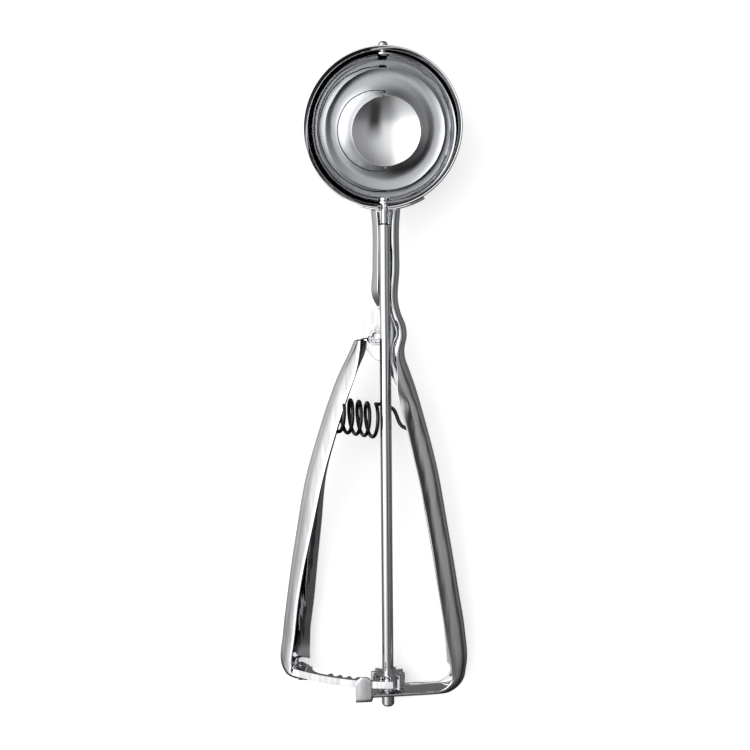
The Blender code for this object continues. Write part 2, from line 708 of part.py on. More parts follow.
def build_rivets():
    rear = -CHANNEL_REAR - SLIP_GAP
    washer_rear = EAR_FRONT_Z + SLIP_GAP
    head_rear = washer_rear + PIVOT_WASHER_T + SLIP_GAP
    head_front = head_rear + PIVOT_HEAD_T
    back_r = PIVOT_HEAD_R + 0.3 * MM
    profile = [(0, head_front - 0.15 * MM), (1.2 * MM, head_front - 0.1 * MM), (1.9 * MM, head_front)]
    profile += [(PIVOT_HEAD_R - 0.2 * MM, head_front), (PIVOT_HEAD_R, head_front - 0.2 * MM)]
    profile += [(PIVOT_HEAD_R, head_rear), (PIVOT_SHANK_R, head_rear), (PIVOT_SHANK_R, rear), (back_r, rear)]
    profile += [(back_r, rear - 0.4 * PIVOT_REAR_HEAD_T), (back_r * 0.8, rear - 0.8 * PIVOT_REAR_HEAD_T)]
    profile += [(back_r * 0.45, rear - PIVOT_REAR_HEAD_T), (0, rear - PIVOT_REAR_HEAD_T)]
    rivet = turned("pivot_rivet", profile, scoop, bright, segments=28)
    hole = PIVOT_SHANK_R + SLIP_GAP
    washer = turned("pivot_washer", [
        (hole, washer_rear + PIVOT_WASHER_T), (PIVOT_WASHER_R, washer_rear + PIVOT_WASHER_T),
        (PIVOT_WASHER_R, washer_rear), (hole, washer_rear),
    ], scoop, bright, segments=28, closed=True)
    for thing in (rivet, washer):
        thing.location = (PIVOT_X, -PIVOT_DROP, 0)


def build_rod():
    inside_tip = -BLADE_INNER_R + SLIP_GAP + HUB_LENGTH + SLIP_GAP
    neck_start = -BOWL_OUTER_R - ROD_NECK_LENGTH
    tail_end = CAP_TOP - 0.6 * CAP_LENGTH
    shoulder = WASHER_BOTTOM
    profile = [(0, inside_tip), (ROD_NECK_R - 0.2 * MM, inside_tip), (ROD_NECK_R, inside_tip - 0.2 * MM)]
    profile += [(ROD_NECK_R, neck_start + 0.5 * MM), (ROD_R, neck_start - 0.3 * MM)]
    profile += [(ROD_R, shoulder), (ROD_TAIL_R, shoulder), (ROD_TAIL_R, tail_end), (0, tail_end)]
    along_rod(turned("rod", profile, shaft_axis, bright, segments=24))
    bore = ROD_TAIL_R + SLIP_GAP
    cap = [(bore, CAP_TOP), (CAP_R, CAP_TOP), (CAP_R, CAP_TOP - CAP_LENGTH + 0.8 * MM)]
    cap += [(CAP_R - 0.6 * MM, CAP_TOP - CAP_LENGTH + 0.1 * MM), (CAP_R * 0.4, CAP_TOP - CAP_LENGTH)]
    cap += [(0, CAP_TOP - CAP_LENGTH)]
    hollow = [(0, tail_end - SLIP_GAP), (bore, tail_end - SLIP_GAP)]
    along_rod(turned("rod_end_cap", hollow + cap, shaft_axis, bright, segments=24))
    ring = ROD_R + SLIP_GAP
    top = PINION_BOTTOM - SLIP_GAP
    washer = [(ring, top), (THRUST_WASHER_R, top), (THRUST_WASHER_R, WASHER_BOTTOM), (ring, WASHER_BOTTOM)]
    along_rod(turned("thrust_washer", washer, shaft_axis, bright, segments=24, closed=True))


def pinion_outline():
    """An involute pinion with a tooth space facing the rack, as points about its axis."""
    base_r = PINION_PITCH_R * math.cos(PRESSURE_ANGLE)
    tip_r = PINION_PITCH_R + ADDENDUM
    root_r = PINION_PITCH_R - ADDENDUM - ROOT_CLEARANCE
    half_at_pitch = (TOOTH_PITCH / 4 - BACKLASH / 4) / PINION_PITCH_R

    def involute(angle):
        return math.tan(angle) - angle

    def half_angle(radius):
        turn = math.acos(min(1.0, base_r / radius))
        return half_at_pitch + involute(PRESSURE_ANGLE) - involute(turn)

    radii = list(np.linspace(base_r, tip_r, 5))
    side = [(root_r, half_angle(base_r))] + [(radius, half_angle(radius)) for radius in radii]
    points = []
    for tooth in range(PINION_TEETH):
        middle = math.tau * (tooth + 0.5) / PINION_TEETH
        for radius, half in side:
            points.append((radius, middle - half))
        for radius, half in reversed(side):
            points.append((radius, middle + half))
    return [(radius * math.sin(turn), -radius * math.cos(turn)) for radius, turn in points]


def build_pinion():
    made = plate("pinion", pinion_outline(), PINION_BOTTOM, PINION_TOP, None, bright)
    along_rod(made)
    made.parent = shaft_axis
    bore = rod_cutter("pinion_bore", ROD_R + SLIP_GAP)
    bore.scale.z = 2
    along_rod(bore, (PINION_TOP + PINION_BOTTOM) / 2)
    combine(made, bore, "DIFFERENCE")


def build_wiper():
    """The blade: a band on a sphere just inside the bowl, from the rod's neck to the far pin."""
    sections = []
    ends = math.asin(BLADE_END_HALF_WIDTH / BLADE_OUTER_R)
    for along in np.linspace(-math.pi / 2 - ends, math.pi / 2 + ends, 33):
        open_share = max(0.0, math.cos(along))
        wide = BLADE_END_HALF_WIDTH + (BLADE_HALF_WIDTH - BLADE_END_HALF_WIDTH) * open_share**0.7
        past = abs(along) - math.pi / 2
        if past > 0:
            wide *= math.sqrt(max(0.12, 1 - (past / ends) ** 2))
        ring = []
        for radius, side in ((BLADE_OUTER_R, -1), (BLADE_OUTER_R, 0), (BLADE_OUTER_R, 1),
                             (BLADE_INNER_R, 1), (BLADE_INNER_R, 0), (BLADE_INNER_R, -1)):
            tip = math.asin(side * wide / radius)
            flat = Vector((math.cos(along) * math.cos(tip), math.sin(along) * math.cos(tip), math.sin(tip)))
            ring.append(Matrix.Rotation(BLADE_REST, 3, "Y") @ (flat * radius))
        sections.append(ring)
    blade = loft("wiper_blade", sections, shaft_axis, bright)
    near_hole = rod_cutter("blade_near_hole", ROD_NECK_R + SLIP_GAP)
    far_hole = rod_cutter("blade_far_hole", FAR_PIN_R + SLIP_GAP)
    combine(blade, along_rod(near_hole, -BLADE_OUTER_R), "DIFFERENCE")
    combine(blade, along_rod(far_hole, BLADE_OUTER_R), "DIFFERENCE")
    build_wiper_ends()


def build_wiper_ends():
    bore = ROD_NECK_R + SLIP_GAP
    low = -BLADE_INNER_R + SLIP_GAP
    high = low + HUB_LENGTH
    chamfer = 0.3 * MM
    hub = [(bore, high), (HUB_R - chamfer, high), (HUB_R, high - chamfer), (HUB_R, low), (bore, low)]
    along_rod(turned("wiper_hub", hub, shaft_axis, bright, segments=20, closed=True))
    inner = BLADE_INNER_R - SLIP_GAP
    seat = BOWL_OUTER_R + SEAT_GAP
    end = seat + FAR_PIN_HEAD_LENGTH
    pin = [(0, end), (FAR_PIN_HEAD_R * 0.55, end - 0.15 * MM), (FAR_PIN_HEAD_R * 0.9, end - 0.7 * MM)]
    pin += [(FAR_PIN_HEAD_R, end - 1.2 * MM), (FAR_PIN_HEAD_R, seat), (FAR_PIN_R, seat), (FAR_PIN_R, inner)]
    pin += [(FAR_PIN_INNER_HEAD_R, inner), (FAR_PIN_INNER_HEAD_R, inner - 0.5 * FAR_PIN_INNER_HEAD_T)]
    pin += [(FAR_PIN_INNER_HEAD_R * 0.6, inner - FAR_PIN_INNER_HEAD_T), (0, inner - FAR_PIN_INNER_HEAD_T)]
    along_rod(turned("wiper_far_pin", pin, shaft_axis, bright, segments=20))


def build_rack_rivet():
    """A shouldered rivet: head, rack, shoulder, toe and head, on a line through the pivot."""
    half_rack = RACK_T / 2 + SLIP_GAP
    toe_near = RACK_T / 2 + TOE_OFFSET - SLIP_GAP
    toe_far = RACK_T / 2 + TOE_OFFSET + SHEET_T + SLIP_GAP
    head = RACK_RIVET_HEAD_T
    profile = [
        (0, half_rack + head), (RACK_RIVET_HEAD_R * 0.6, half_rack + head),
        (RACK_RIVET_HEAD_R, half_rack + head * 0.4), (RACK_RIVET_HEAD_R, half_rack),
        (RACK_RIVET_R, half_rack), (RACK_RIVET_R, -half_rack),
        (RACK_RIVET_HEAD_R * 0.9, -half_rack), (RACK_RIVET_HEAD_R * 0.9, -toe_near),
        (RACK_RIVET_R, -toe_near), (RACK_RIVET_R, -toe_far),
        (RACK_RIVET_HEAD_R, -toe_far), (RACK_RIVET_HEAD_R, -toe_far - head * 0.6),
        (RACK_RIVET_HEAD_R * 0.6, -toe_far - head), (0, -toe_far - head),
    ]
    at_rack_rivet(turned("rack_rivet", profile, lever_pivot, bright, segments=20), RACK_RADIUS)


def build_spring():
    """One wire from the lever's web, round the coil, behind the rod and into the right handle."""
    points = spring_points()
    curve = bpy.data.curves.new("spring", "CURVE")
    curve.dimensions = "3D"
    curve.bevel_depth = WIRE_R
    curve.bevel_resolution = 1
    curve.use_fill_caps = True
    spline = curve.splines.new("POLY")
    spline.points.add(len(points) - 1)
    for point, place in zip(spline.points, points):
        point.co = (*place, 1)
    guide = bpy.data.objects.new("spring_route", curve)
    cutters.objects.link(guide)
    bpy.context.view_layer.update()
    as_mesh("spring", guide, scoop, spring_steel)
    print("spring: least gap between its own turns", round(least_gap(points) * 1000, 2), "mm")


def web_place(rows, y):
    """The inner face of a web at height y, and the direction that leaves it squarely."""
    track = np.array([(row[0], row[1], row[2]) for row in smooth_rows(rows, 1.0 * MM)])
    index = int(np.argmin(np.abs(track[:, 1] - y)))
    along = track[index + 1, :2] - track[index - 1, :2]
    normal = np.array([along[1], -along[0]]) / np.linalg.norm(along)
    inward = np.array([math.cos(track[index, 2]), math.sin(track[index, 2])])
    if normal @ inward < 0:
        normal = -normal
    thick = SHEET_T * abs(normal @ inward)
    return track[index, :2] + normal * (thick + SEAT_GAP), normal


def spring_points():
    """The wire's centre line, from the lever to the right handle."""
    centre_y = -PIVOT_DROP - COIL_DROP
    left, left_out = web_place(lever_rows(), centre_y + 0.8 * COIL_R)
    handle = [row for row in frame_rows() if row[1] < -PIVOT_DROP]
    right, right_out = web_place(handle, centre_y - 1.5 * MM)
    run = 2 * WIRE_R
    count = COIL_TURNS * CURL_POINTS
    start_x = -COIL_LEFT
    coil = []
    for index in range(count + 1):
        turn = math.tau * index / CURL_POINTS
        x = start_x + COIL_PITCH * index / CURL_POINTS
        coil.append((x, centre_y + COIL_R * math.cos(turn), COIL_Z + COIL_R * math.sin(turn)))
    last_x = coil[-1][0]
    behind = []
    half = CURL_POINTS // 2
    crossing = ROD_R * 2 + 3.4 * MM
    for index in range(1, half + 1):
        turn = -math.pi * index / half
        x = last_x + crossing * index / half
        behind.append((x, centre_y + COIL_R * math.cos(turn), COIL_Z + COIL_R * math.sin(turn)))
    return coil_with_ends(coil, behind, (left, left_out), (right, right_out), run)


def coil_with_ends(coil, behind, left_end, right_end, run):
    (left, left_out), (right, right_out) = left_end, right_end
    lead = [(*left, COIL_Z), (*(left + left_out * run), COIL_Z)]
    tail = [(*(right + right_out * run), COIL_Z + 1 * MM), (*right, COIL_Z + 1 * MM)]
    return lead + coil + behind + tail


def least_gap(points):
    """The least distance between stretches of the wire that are over half a turn apart."""
    track = np.array(points)
    least = math.inf
    apart = CURL_POINTS // 2 + 1
    for index in range(len(track) - apart - 1):
        start, step = track[index], track[index + 1] - track[index]
        for other in track[index + apart:]:
            share = np.clip((other - start) @ step / (step @ step), 0, 1)
            least = min(least, float(np.linalg.norm(start + share * step - other)))
    return least - 2 * WIRE_R


def lay_on_table():
    """Tips the scoop onto the bowl's underside and the handles, and centres it over the origin."""
    reach = -FOOT_BOTTOM
    tilt = math.asin(BOWL_OUTER_R / math.hypot(reach, CHANNEL_REAR)) - math.atan2(CHANNEL_REAR, reach)
    scoop.rotation_euler = (tilt, 0, 0)
    bpy.context.view_layer.update()
    depsgraph = bpy.context.evaluated_depsgraph_get()
    low = np.full(3, math.inf)
    high = np.full(3, -math.inf)
    for thing in parts.objects:
        if thing.type != "MESH":
            continue
        shape = thing.evaluated_get(depsgraph)
        corners = np.array([thing.matrix_world @ point.co for point in shape.data.vertices])
        low = np.minimum(low, corners.min(axis=0))
        high = np.maximum(high, corners.max(axis=0))
    scoop.location = (-(low[0] + high[0]) / 2, -(low[1] + high[1]) / 2, -low[2])
    bpy.context.view_layer.update()


clear_scene()
parts = collection("ice_cream_scoop")
cutters = collection("cutters")
polished = steel("polished_stainless", 0.62, 0.12)
bright = steel("bright_stainless", 0.68, 0.1)
spring_steel = steel("dark_spring_steel", 0.12, 0.25)
scoop = empty("scoop")
lever_pivot = empty("lever_pivot", scoop, (PIVOT_X, -PIVOT_DROP, 0))
shaft_axis = empty("shaft_axis", scoop)
notch = build_notch()
rivet_hole = build_rivet_hole()
build_bowl()
build_saddle()
build_frame()
build_lever()
build_rack()
build_rivets()
build_rack_rivet()
build_rod()
build_pinion()
build_wiper()
build_spring()
lay_on_table()
print("lever sweep in degrees", round(math.degrees(LEVER_SWEEP), 3))
print("wiper turn for each lever turn", round(PINION_RATIO, 4))
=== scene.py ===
"""Dresses the packed ice cream scoop in polished steel and sets up its studio.

Every piece is modelled in the scoop's own frame: the rod's axis is Y, the bowl opens towards +Z and the
origin is the centre of the bowl's sphere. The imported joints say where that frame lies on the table.
"""

import json
import math

import bpy
import numpy as np
from bpy.props import FloatProperty, FloatVectorProperty, IntProperty, PointerProperty
from mathutils import Matrix, Vector


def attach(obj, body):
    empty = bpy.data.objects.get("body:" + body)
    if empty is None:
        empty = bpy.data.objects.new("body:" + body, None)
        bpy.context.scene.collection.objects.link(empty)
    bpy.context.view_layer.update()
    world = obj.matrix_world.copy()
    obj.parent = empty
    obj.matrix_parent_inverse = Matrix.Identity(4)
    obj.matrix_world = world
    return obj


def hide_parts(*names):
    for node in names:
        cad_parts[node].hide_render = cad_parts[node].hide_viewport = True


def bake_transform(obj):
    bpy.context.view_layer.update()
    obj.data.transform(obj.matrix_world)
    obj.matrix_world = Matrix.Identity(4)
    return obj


bl_info = {
    "name": "Squeeze Ice Cream Scoop",
    "version": (1, 0, 0),
    "blender": (4, 5, 0),
    "location": "View3D > Sidebar > Scoop",
    "description": "Models a polished squeeze scoop piece by piece round its packed frame",
    "category": "Add Mesh",
}

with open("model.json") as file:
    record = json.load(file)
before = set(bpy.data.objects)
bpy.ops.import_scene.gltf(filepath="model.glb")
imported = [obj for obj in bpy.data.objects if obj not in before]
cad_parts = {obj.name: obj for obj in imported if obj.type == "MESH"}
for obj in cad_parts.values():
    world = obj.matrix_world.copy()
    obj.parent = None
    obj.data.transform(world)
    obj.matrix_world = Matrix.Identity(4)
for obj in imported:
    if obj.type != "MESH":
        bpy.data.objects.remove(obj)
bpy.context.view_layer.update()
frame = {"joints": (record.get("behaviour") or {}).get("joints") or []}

MM = 0.001
JOINTS = {joint["name"]: joint for joint in frame["joints"]}


def scoop_place():
    """The matrix from the scoop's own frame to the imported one, from the two joints' axes."""
    along = Vector(JOINTS["wiper_turn"]["axis"]).normalized()
    up = Vector(JOINTS["lever_squeeze"]["axis"]).normalized()
    place = Matrix((along.cross(up), along, up)).transposed().to_4x4()
    place.translation = Vector(JOINTS["wiper_turn"]["pos_m"])
    return place


SCOOP = scoop_place()
PIVOT = SCOOP.inverted() @ Vector(JOINTS["lever_squeeze"]["pos_m"])


def linear(hex_colour):
    """Turns an sRGB hex colour to the linear values that Blender's sockets take."""
    parts = [int(hex_colour[index:index + 2], 16) / 255 for index in (1, 3, 5)]
    return tuple(v / 12.92 if v <= 0.04045 else ((v + 0.055) / 1.055) ** 2.4 for v in parts)


def length(name, description, default):
    """A size in millimetres, kept in metres."""
    return FloatProperty(name=name, description=description, default=default * MM, subtype="DISTANCE",
                         unit="LENGTH", precision=5)


def turn(name, description, default):
    """An angle in degrees, kept in radians."""
    return FloatProperty(name=name, description=description, default=math.radians(default),
                         subtype="ANGLE", unit="ROTATION")


def colour(name, description, default):
    """A colour, written as sRGB hex and kept linear."""
    return FloatVectorProperty(name=name, description=description, default=linear(default),
                               subtype="COLOR", min=0.0, max=1.0)


class ScoopGaps(bpy.types.PropertyGroup):
    seat: length("Seat gap", "Gap between pieces that are fixed together", 0.3)
    slip: length("Slip gap", "Gap between pieces that turn in each other", 0.15)


class ScoopBowl(bpy.types.PropertyGroup):
    inner_radius: length("Inner radius", "Radius of the bowl's polished inside", 26.6)
    wall: length("Wall", "Thickness of the pressed sheet", 0.8)
    collar: length("Collar height", "Straight wall above the hemisphere", 4.7)
    lip: length("Lip overhang", "How far the turned lip stands out", 0.7)
    lip_height: length("Lip height", "Height of the turned lip", 1.3)
    notch: length("Notch half width", "Half the width of the slot for the rod's neck", 1.75)
    saddle_sheet: length("Saddle sheet", "Thickness of the plate under the bowl", 0.9)
    saddle_turn: turn("Saddle half angle", "How far the plate wraps each side of the stem", 30)
    saddle_top: length("Saddle top", "Height of the plate's upper edge", 2.2)
    saddle_depth: length("Saddle depth", "Depth of the plate's lower edge", 9.0)


class ScoopSheet(bpy.types.PropertyGroup):
    thickness: length("Sheet", "Thickness of the stamped sheet", 1.0)
    edge: length("Edge rounding", "Radius of the deburred sheet edges", 0.28)
    rear: length("Channel rear", "Depth of the channels behind the rod's axis", 5.6)
    front: length("Channel front", "Height of the handles' front flanges", 5.8)
    corner: length("Handle bend", "Outer radius of the right handle's bends", 3.0)
    dish: length("Flange dish", "Depth of the hollow that the press leaves along the front flanges", 0.05)
    crown: FloatProperty(name="Flange crown", description="Extra fall of a leaning flange at its outer bend",
                         default=3.8)
    stem_corner: length("Stem bend", "Outer radius of the stem's bends", 1.3)
    stem_half: length("Stem half width", "Half the width of the stem channel", 4.7)
    stem_flare: length("Stem flare", "Widening of the stem at the bowl", 0.7)
    stem_lean: turn("Stem lean", "Outward lean of the stem's right edge", 20)
    side_lip: length("Left edge", "Width of the stem's left turned edge", 2.4)
    side_lean: turn("Left lean", "Outward lean of the stem's left edge", 34)
    sag: length("Base sag", "How far the stem's base falls towards its right side", 1.6)
    stem_front: length("Stem front", "Height of the stem's sides", 0.4)
    stem_lip: length("Stem lip", "Width of the stem's turned edges", 1.7)
    plate_radius: length("Pivot plate radius", "Radius of the plate behind the pivot", 5.2)
    plate_right: length("Pivot plate right", "Where the plate ends behind the rod", 0.6)


class ScoopHandle(bpy.types.PropertyGroup):
    spread: length("Spread", "Reach of the right handle at its widest", 28.8)
    rear_flange: length("Rear flange", "Width of the rear flange", 7.8)
    front_flange: length("Front flange", "Width of the front flange", 6.5)
    lean: turn("Front lean", "Outward lean of the front flange", 5)
    foot_bend: length("Foot bend", "Radius of the bend into the foot plate", 9.0)
    foot_slope: turn("Foot slope", "Slope of the foot plate", 5.5)
    foot_reach: length("Foot reach", "Reach of the foot plate past the rod", 10.6)
    tab_width: length("Tab width", "Width of the upturned rack guide", 5.8)
    tab_height: length("Tab height", "Height of the upturned rack guide", 9.6)
    tab_gap: length("Tab gap", "Gap between rack and guide", 0.35)
    tab_swell: length("Tab swell", "How far the guide's face swells forward", 0.15)


class ScoopLever(bpy.types.PropertyGroup):
    spread: length("Spread", "Reach of the left handle at its widest", 38.5)
    rear_flange: length("Rear flange", "Width of the rear flange", 8.2)
    front_flange: length("Front flange", "Width of the front flange", 4.8)
    lean: turn("Front lean", "Outward lean of the front flange", -1)
    corner: length("Lever bend", "Size of the lever's outer bends", 1.4)
    flat_bend: FloatProperty(name="Flat bend", description="How flat the lever's front bend is pressed",
                             default=0.7)
    curl: FloatProperty(name="Rear curl", description="How much the rear flange curls up", default=0.5)
    crease: length("Crease", "Fall of the front flange beside its bend", 0.11)
    hem: length("Hem", "Rise of the front flange's inner edge", 0.2)
    ear_top: length("Ear top", "Reach of the ear above the pivot", 9.8)
    ear_right: length("Ear right", "Reach of the ear behind the rod", 4.4)
    ear_bottom: length("Ear bottom", "Reach of the ear below the pivot", 9.2)
    toe_offset: length("Toe offset", "Gap between rack and toe", 2.6)
    toe_inner: length("Toe end", "Where the toe ends, left of the rod", 29.6)
    toe_bend: length("Toe bend", "Radius of the bend into the toe", 4.5)


class ScoopRod(bpy.types.PropertyGroup):
    radius: length("Radius", "Radius of the long rod", 2.05)
    neck: length("Neck radius", "Radius of the rod's neck at the bowl", 1.2)
    neck_length: length("Neck length", "Length of the neck outside the bowl", 6.2)
    tail: length("Tail radius", "Radius of the rod in the foot plate", 1.5)
    washer_radius: length("Washer radius", "Radius of the thrust washer", 3.6)
    washer_sheet: length("Washer sheet", "Thickness of the thrust washer", 0.6)
    cap_radius: length("Cap radius", "Radius of the formed end cap", 2.3)
    cap_length: length("Cap length", "Length of the formed end cap", 4.4)


class ScoopGear(bpy.types.PropertyGroup):
    teeth: IntProperty(name="Pinion teeth", description="Teeth on the pinion", default=10, min=6)
    rack_teeth: IntProperty(name="Rack teeth", description="Teeth on the rack", default=7, min=2)
    pitch: length("Tooth pitch", "Distance from tooth to tooth", 3.4)
    pressure: turn("Pressure angle", "Slant of the rack's teeth", 25)
    addendum: length("Addendum", "Height of a tooth above the pitch line", 0.85)
    clearance: length("Root clearance", "Room under each tooth", 0.3)
    backlash: length("Backlash", "Play between the teeth", 0.4)
    height: length("Pinion height", "Height of the pinion", 5.4)
    above_rack: length("Above the rack", "Pinion above the rack", 0.7)
    rack_radius: length("Rack radius", "Distance from the pivot to the rack", 125.4)
    rack_sheet: length("Rack sheet", "Thickness of the rack", 1.1)
    rack_back: length("Rack back", "Solid width in front of the teeth", 2.2)
    rack_fold: length("Rack fold", "How far the rack's front edge is turned down", 1.4)
    rack_fold_sheet: length("Rack fold sheet", "Thickness of the turned-down edge", 0.9)
    rivet_radius: length("Rivet radius", "Shank radius of the rack's rivet", 1.1)
    rivet_head: length("Rivet head radius", "Head radius of the rack's rivet", 1.9)
    rivet_head_sheet: length("Rivet head", "Head thickness of the rack's rivet", 0.6)
    rivet_x: length("Rivet place", "Distance of the rack's rivet from the rod", 31.8)
    rivet_z: length("Rivet height", "Height of the rack's rivet", 2.4)


class ScoopPivot(bpy.types.PropertyGroup):
    shank: length("Shank radius", "Radius of the pivot rivet's shank", 1.9)
    head: length("Head radius", "Radius of the pivot rivet's head", 2.85)
    head_sheet: length("Head", "Thickness of the pivot rivet's head", 0.4)
    back_sheet: length("Rear head", "Thickness of the rivet's rear head", 0.9)
    washer: length("Washer radius", "Radius of the ring under the head", 3.65)
    washer_sheet: length("Washer", "Thickness of the ring under the head", 0.25)


class ScoopWiper(bpy.types.PropertyGroup):
    thickness: length("Blade sheet", "Thickness of the wiper blade", 0.6)
    gap: length("Blade gap", "Gap between blade and bowl", 0.35)
    half_width: length("Half width", "Half the blade's width in the middle", 3.4)
    end_half_width: length("End half width", "Half the blade's width at its ends", 1.7)
    rest: turn("Rest angle", "Where the blade rests below the rim", 24)
    hub: length("Hub radius", "Radius of the hub on the rod", 1.95)
    hub_length: length("Hub length", "Length of the hub on the rod", 1.4)
    pin: length("Pin radius", "Radius of the far pin", 1.2)
    pin_head: length("Pin head radius", "Radius of the far pin's outer head", 1.75)
    pin_head_length: length("Pin head", "Length of the far pin's outer head", 2.5)
    pin_inner_head: length("Inner head radius", "Radius of the far pin's inner head", 1.35)
    pin_inner_sheet: length("Inner head", "Thickness of the far pin's inner head", 0.3)


class ScoopSpring(bpy.types.PropertyGroup):
    wire: length("Wire radius", "Radius of the spring's wire", 0.68)
    coil: length("Coil radius", "Radius of the coil to the wire's middle", 6.1)
    drop: length("Drop", "How far the coil hangs below the pivot", 29.8)
    level: length("Level", "Height of the coil's axis", -0.8)
    left: length("Left", "Where the coil starts, left of the rod", 17.1)
    pitch: length("Pitch", "Distance from turn to turn", 3.1)
    turns: FloatProperty(name="Turns", description="Turns of the coil", default=4.5, min=1)
    skew: turn("Skew", "How far the coil's axis turns back towards the rod", 22)
    fall: FloatProperty(name="Fall", description="Slope of the coil's axis down towards the rod", default=0.2)


class ScoopFinish(bpy.types.PropertyGroup):
    steel: colour("Polished steel", "Colour of the polished stainless sheet", "#CFD0D2")
    rod_steel: colour("Turned steel", "Colour of the turned stainless pieces", "#CCCDCF")
    wire: colour("Spring wire", "Colour of the dark spring wire", "#38393B")
    waviness: length("Polish waviness", "Distance between the soft waves that polishing leaves", 14.0)
    streaks: length("Polish streaks", "Distance between the drawn-out waves across a handle", 6.0)


class ScoopStage(bpy.types.PropertyGroup):
    floor: colour("Floor", "Colour of the studio floor", "#F7F7F7")
    backdrop: colour("Backdrop", "Colour of the pale backdrop", "#FFFFFF")
    lens: FloatProperty(name="Lens", description="Focal length of the camera in millimetres",
                        default=55.496, min=1.0)


def arc(centre, radius, start, end, steps):
    """Points on a circle from one angle to another, in degrees."""
    angles = np.radians(np.linspace(start, end, steps + 1))
    return [(centre[0] + radius * math.cos(a), centre[1] + radius * math.sin(a)) for a in angles]


def smooth_rows(rows, longest):
    """Fills in rows of values along a smooth curve, with no step longer than the given length."""
    rows = np.array(rows, float)
    steps = np.linalg.norm(np.diff(rows[:, :2], axis=0), axis=1)
    slopes = np.gradient(rows, np.concatenate([[0], np.cumsum(steps)]), axis=0)
    filled = []
    for index, step in enumerate(steps):
        count = max(1, math.ceil(step / longest))
        for share in np.arange(count) / count:
            keep = 1 - 3 * share**2 + 2 * share**3
            leave = share * (1 - share) ** 2 * step
            arrive = share**2 * (share - 1) * step
            filled.append(keep * rows[index] + (1 - keep) * rows[index + 1]
                          + leave * slopes[index] + arrive * slopes[index + 1])
    return filled + [rows[-1]]


def start_piece(name, add, **settings):
    """Adds a primitive with nothing else selected and names it."""
    if bpy.context.mode != "OBJECT":
        bpy.ops.object.mode_set(mode="OBJECT")
    bpy.ops.object.select_all(action="DESELECT")
    add(**settings)
    piece = bpy.context.active_object
    piece.name = piece.data.name = name
    return piece


def only(piece):
    """Makes one piece the selected and active one."""
    bpy.ops.object.select_all(action="DESELECT")
    piece.select_set(True)
    bpy.context.view_layer.objects.active = piece


def close_skin():
    """Merges doubles, fills the open ends and turns the faces outwards, in edit mode."""
    bpy.ops.mesh.select_all(action="SELECT")
    bpy.ops.mesh.remove_doubles(threshold=0.000001)
    bpy.ops.mesh.select_all(action="SELECT")
    bpy.ops.mesh.fill_holes(sides=0)
    bpy.ops.mesh.select_all(action="SELECT")
    bpy.ops.mesh.normals_make_consistent(inside=False)
    bpy.ops.object.mode_set(mode="OBJECT")


def turned_piece(name, profile, segments=64, axis="Y", centre=(0, 0, 0)):
    """Draws a profile of (radius, height) from vertex to vertex and spins it about an axis."""
    centre = Vector(centre)
    places = [centre + (Vector((r, h, 0)) if axis == "Y" else Vector((r, 0, h))) for r, h in profile]
    piece = start_piece(name, bpy.ops.mesh.primitive_plane_add, size=MM)
    bpy.ops.object.mode_set(mode="EDIT")
    bpy.ops.mesh.merge(type="CENTER")
    bpy.ops.transform.translate(value=places[0])
    for near, far in zip(places, places[1:]):
        bpy.ops.mesh.extrude_vertices_move(TRANSFORM_OT_translate={"value": far - near})
    bpy.ops.mesh.select_all(action="SELECT")
    direction = (0, 1, 0) if axis == "Y" else (0, 0, 1)
    bpy.ops.mesh.spin(steps=segments, angle=math.tau, center=centre, axis=direction)
    close_skin()
    return piece


def ring_loft(name, rings):
    """Rolls a grid into a tube through rings of as many points each, and fills both ends."""
    rows, columns = len(rings), len(rings[0]) + 1
    piece = start_piece(name, bpy.ops.mesh.primitive_grid_add, x_subdivisions=columns - 1,
                        y_subdivisions=rows - 1, size=1)
    places = np.array([list(map(tuple, ring)) + [tuple(ring[0])] for ring in rings])
    flat = np.array([point.co for point in piece.data.vertices])
    across = np.rint((flat[:, 0] + 0.5) * (columns - 1)).astype(int)
    along = np.rint((flat[:, 1] + 0.5) * (rows - 1)).astype(int)
    piece.data.vertices.foreach_set("co", places[along, across].ravel())
    bpy.ops.object.mode_set(mode="EDIT")
    close_skin()
    return piece


def plate_piece(name, outline, low, high, upright="Z"):
    """Fills an outline and extrudes it from low to high, along Z, or along the rod."""
    piece = start_piece(name, bpy.ops.mesh.primitive_circle_add, vertices=len(outline), fill_type="NGON")
    for point, (x, y) in zip(piece.data.vertices, outline):
        point.co = (x, y, low) if upright == "Z" else (x, low, -y)
    rise = (0, 0, high - low) if upright == "Z" else (0, high - low, 0)
    bpy.ops.object.mode_set(mode="EDIT")
    bpy.ops.mesh.select_all(action="SELECT")
    bpy.ops.mesh.extrude_region_move(TRANSFORM_OT_translate={"value": rise})
    close_skin()
    return piece


def modify(piece, kind, **settings):
    """Adds a modifier, sets it up and applies it."""
    only(piece)
    bpy.ops.object.modifier_add(type=kind)
    step = piece.modifiers[-1]
    for name, value in settings.items():
        setattr(step, name, value)
    bpy.ops.object.modifier_apply(modifier=step.name)
    return piece


def bevel(piece, width, segments=3, limit=35):
    """Rounds every edge sharper than the limit, as tumbling in polishing media does."""
    return modify(piece, "BEVEL", width=width, segments=segments, limit_method="ANGLE",
                  angle_limit=math.radians(limit), use_clamp_overlap=True)


def cut_or_join(piece, tool, operation):
    """Applies an exact boolean and deletes the tool."""
    modify(piece, "BOOLEAN", operation=operation, solver="EXACT", object=tool)
    only(tool)
    bpy.ops.object.delete()
    return piece


# Faces that meet at less than this angle are shaded as one smooth surface
SMOOTH_ANGLE = math.radians(30)


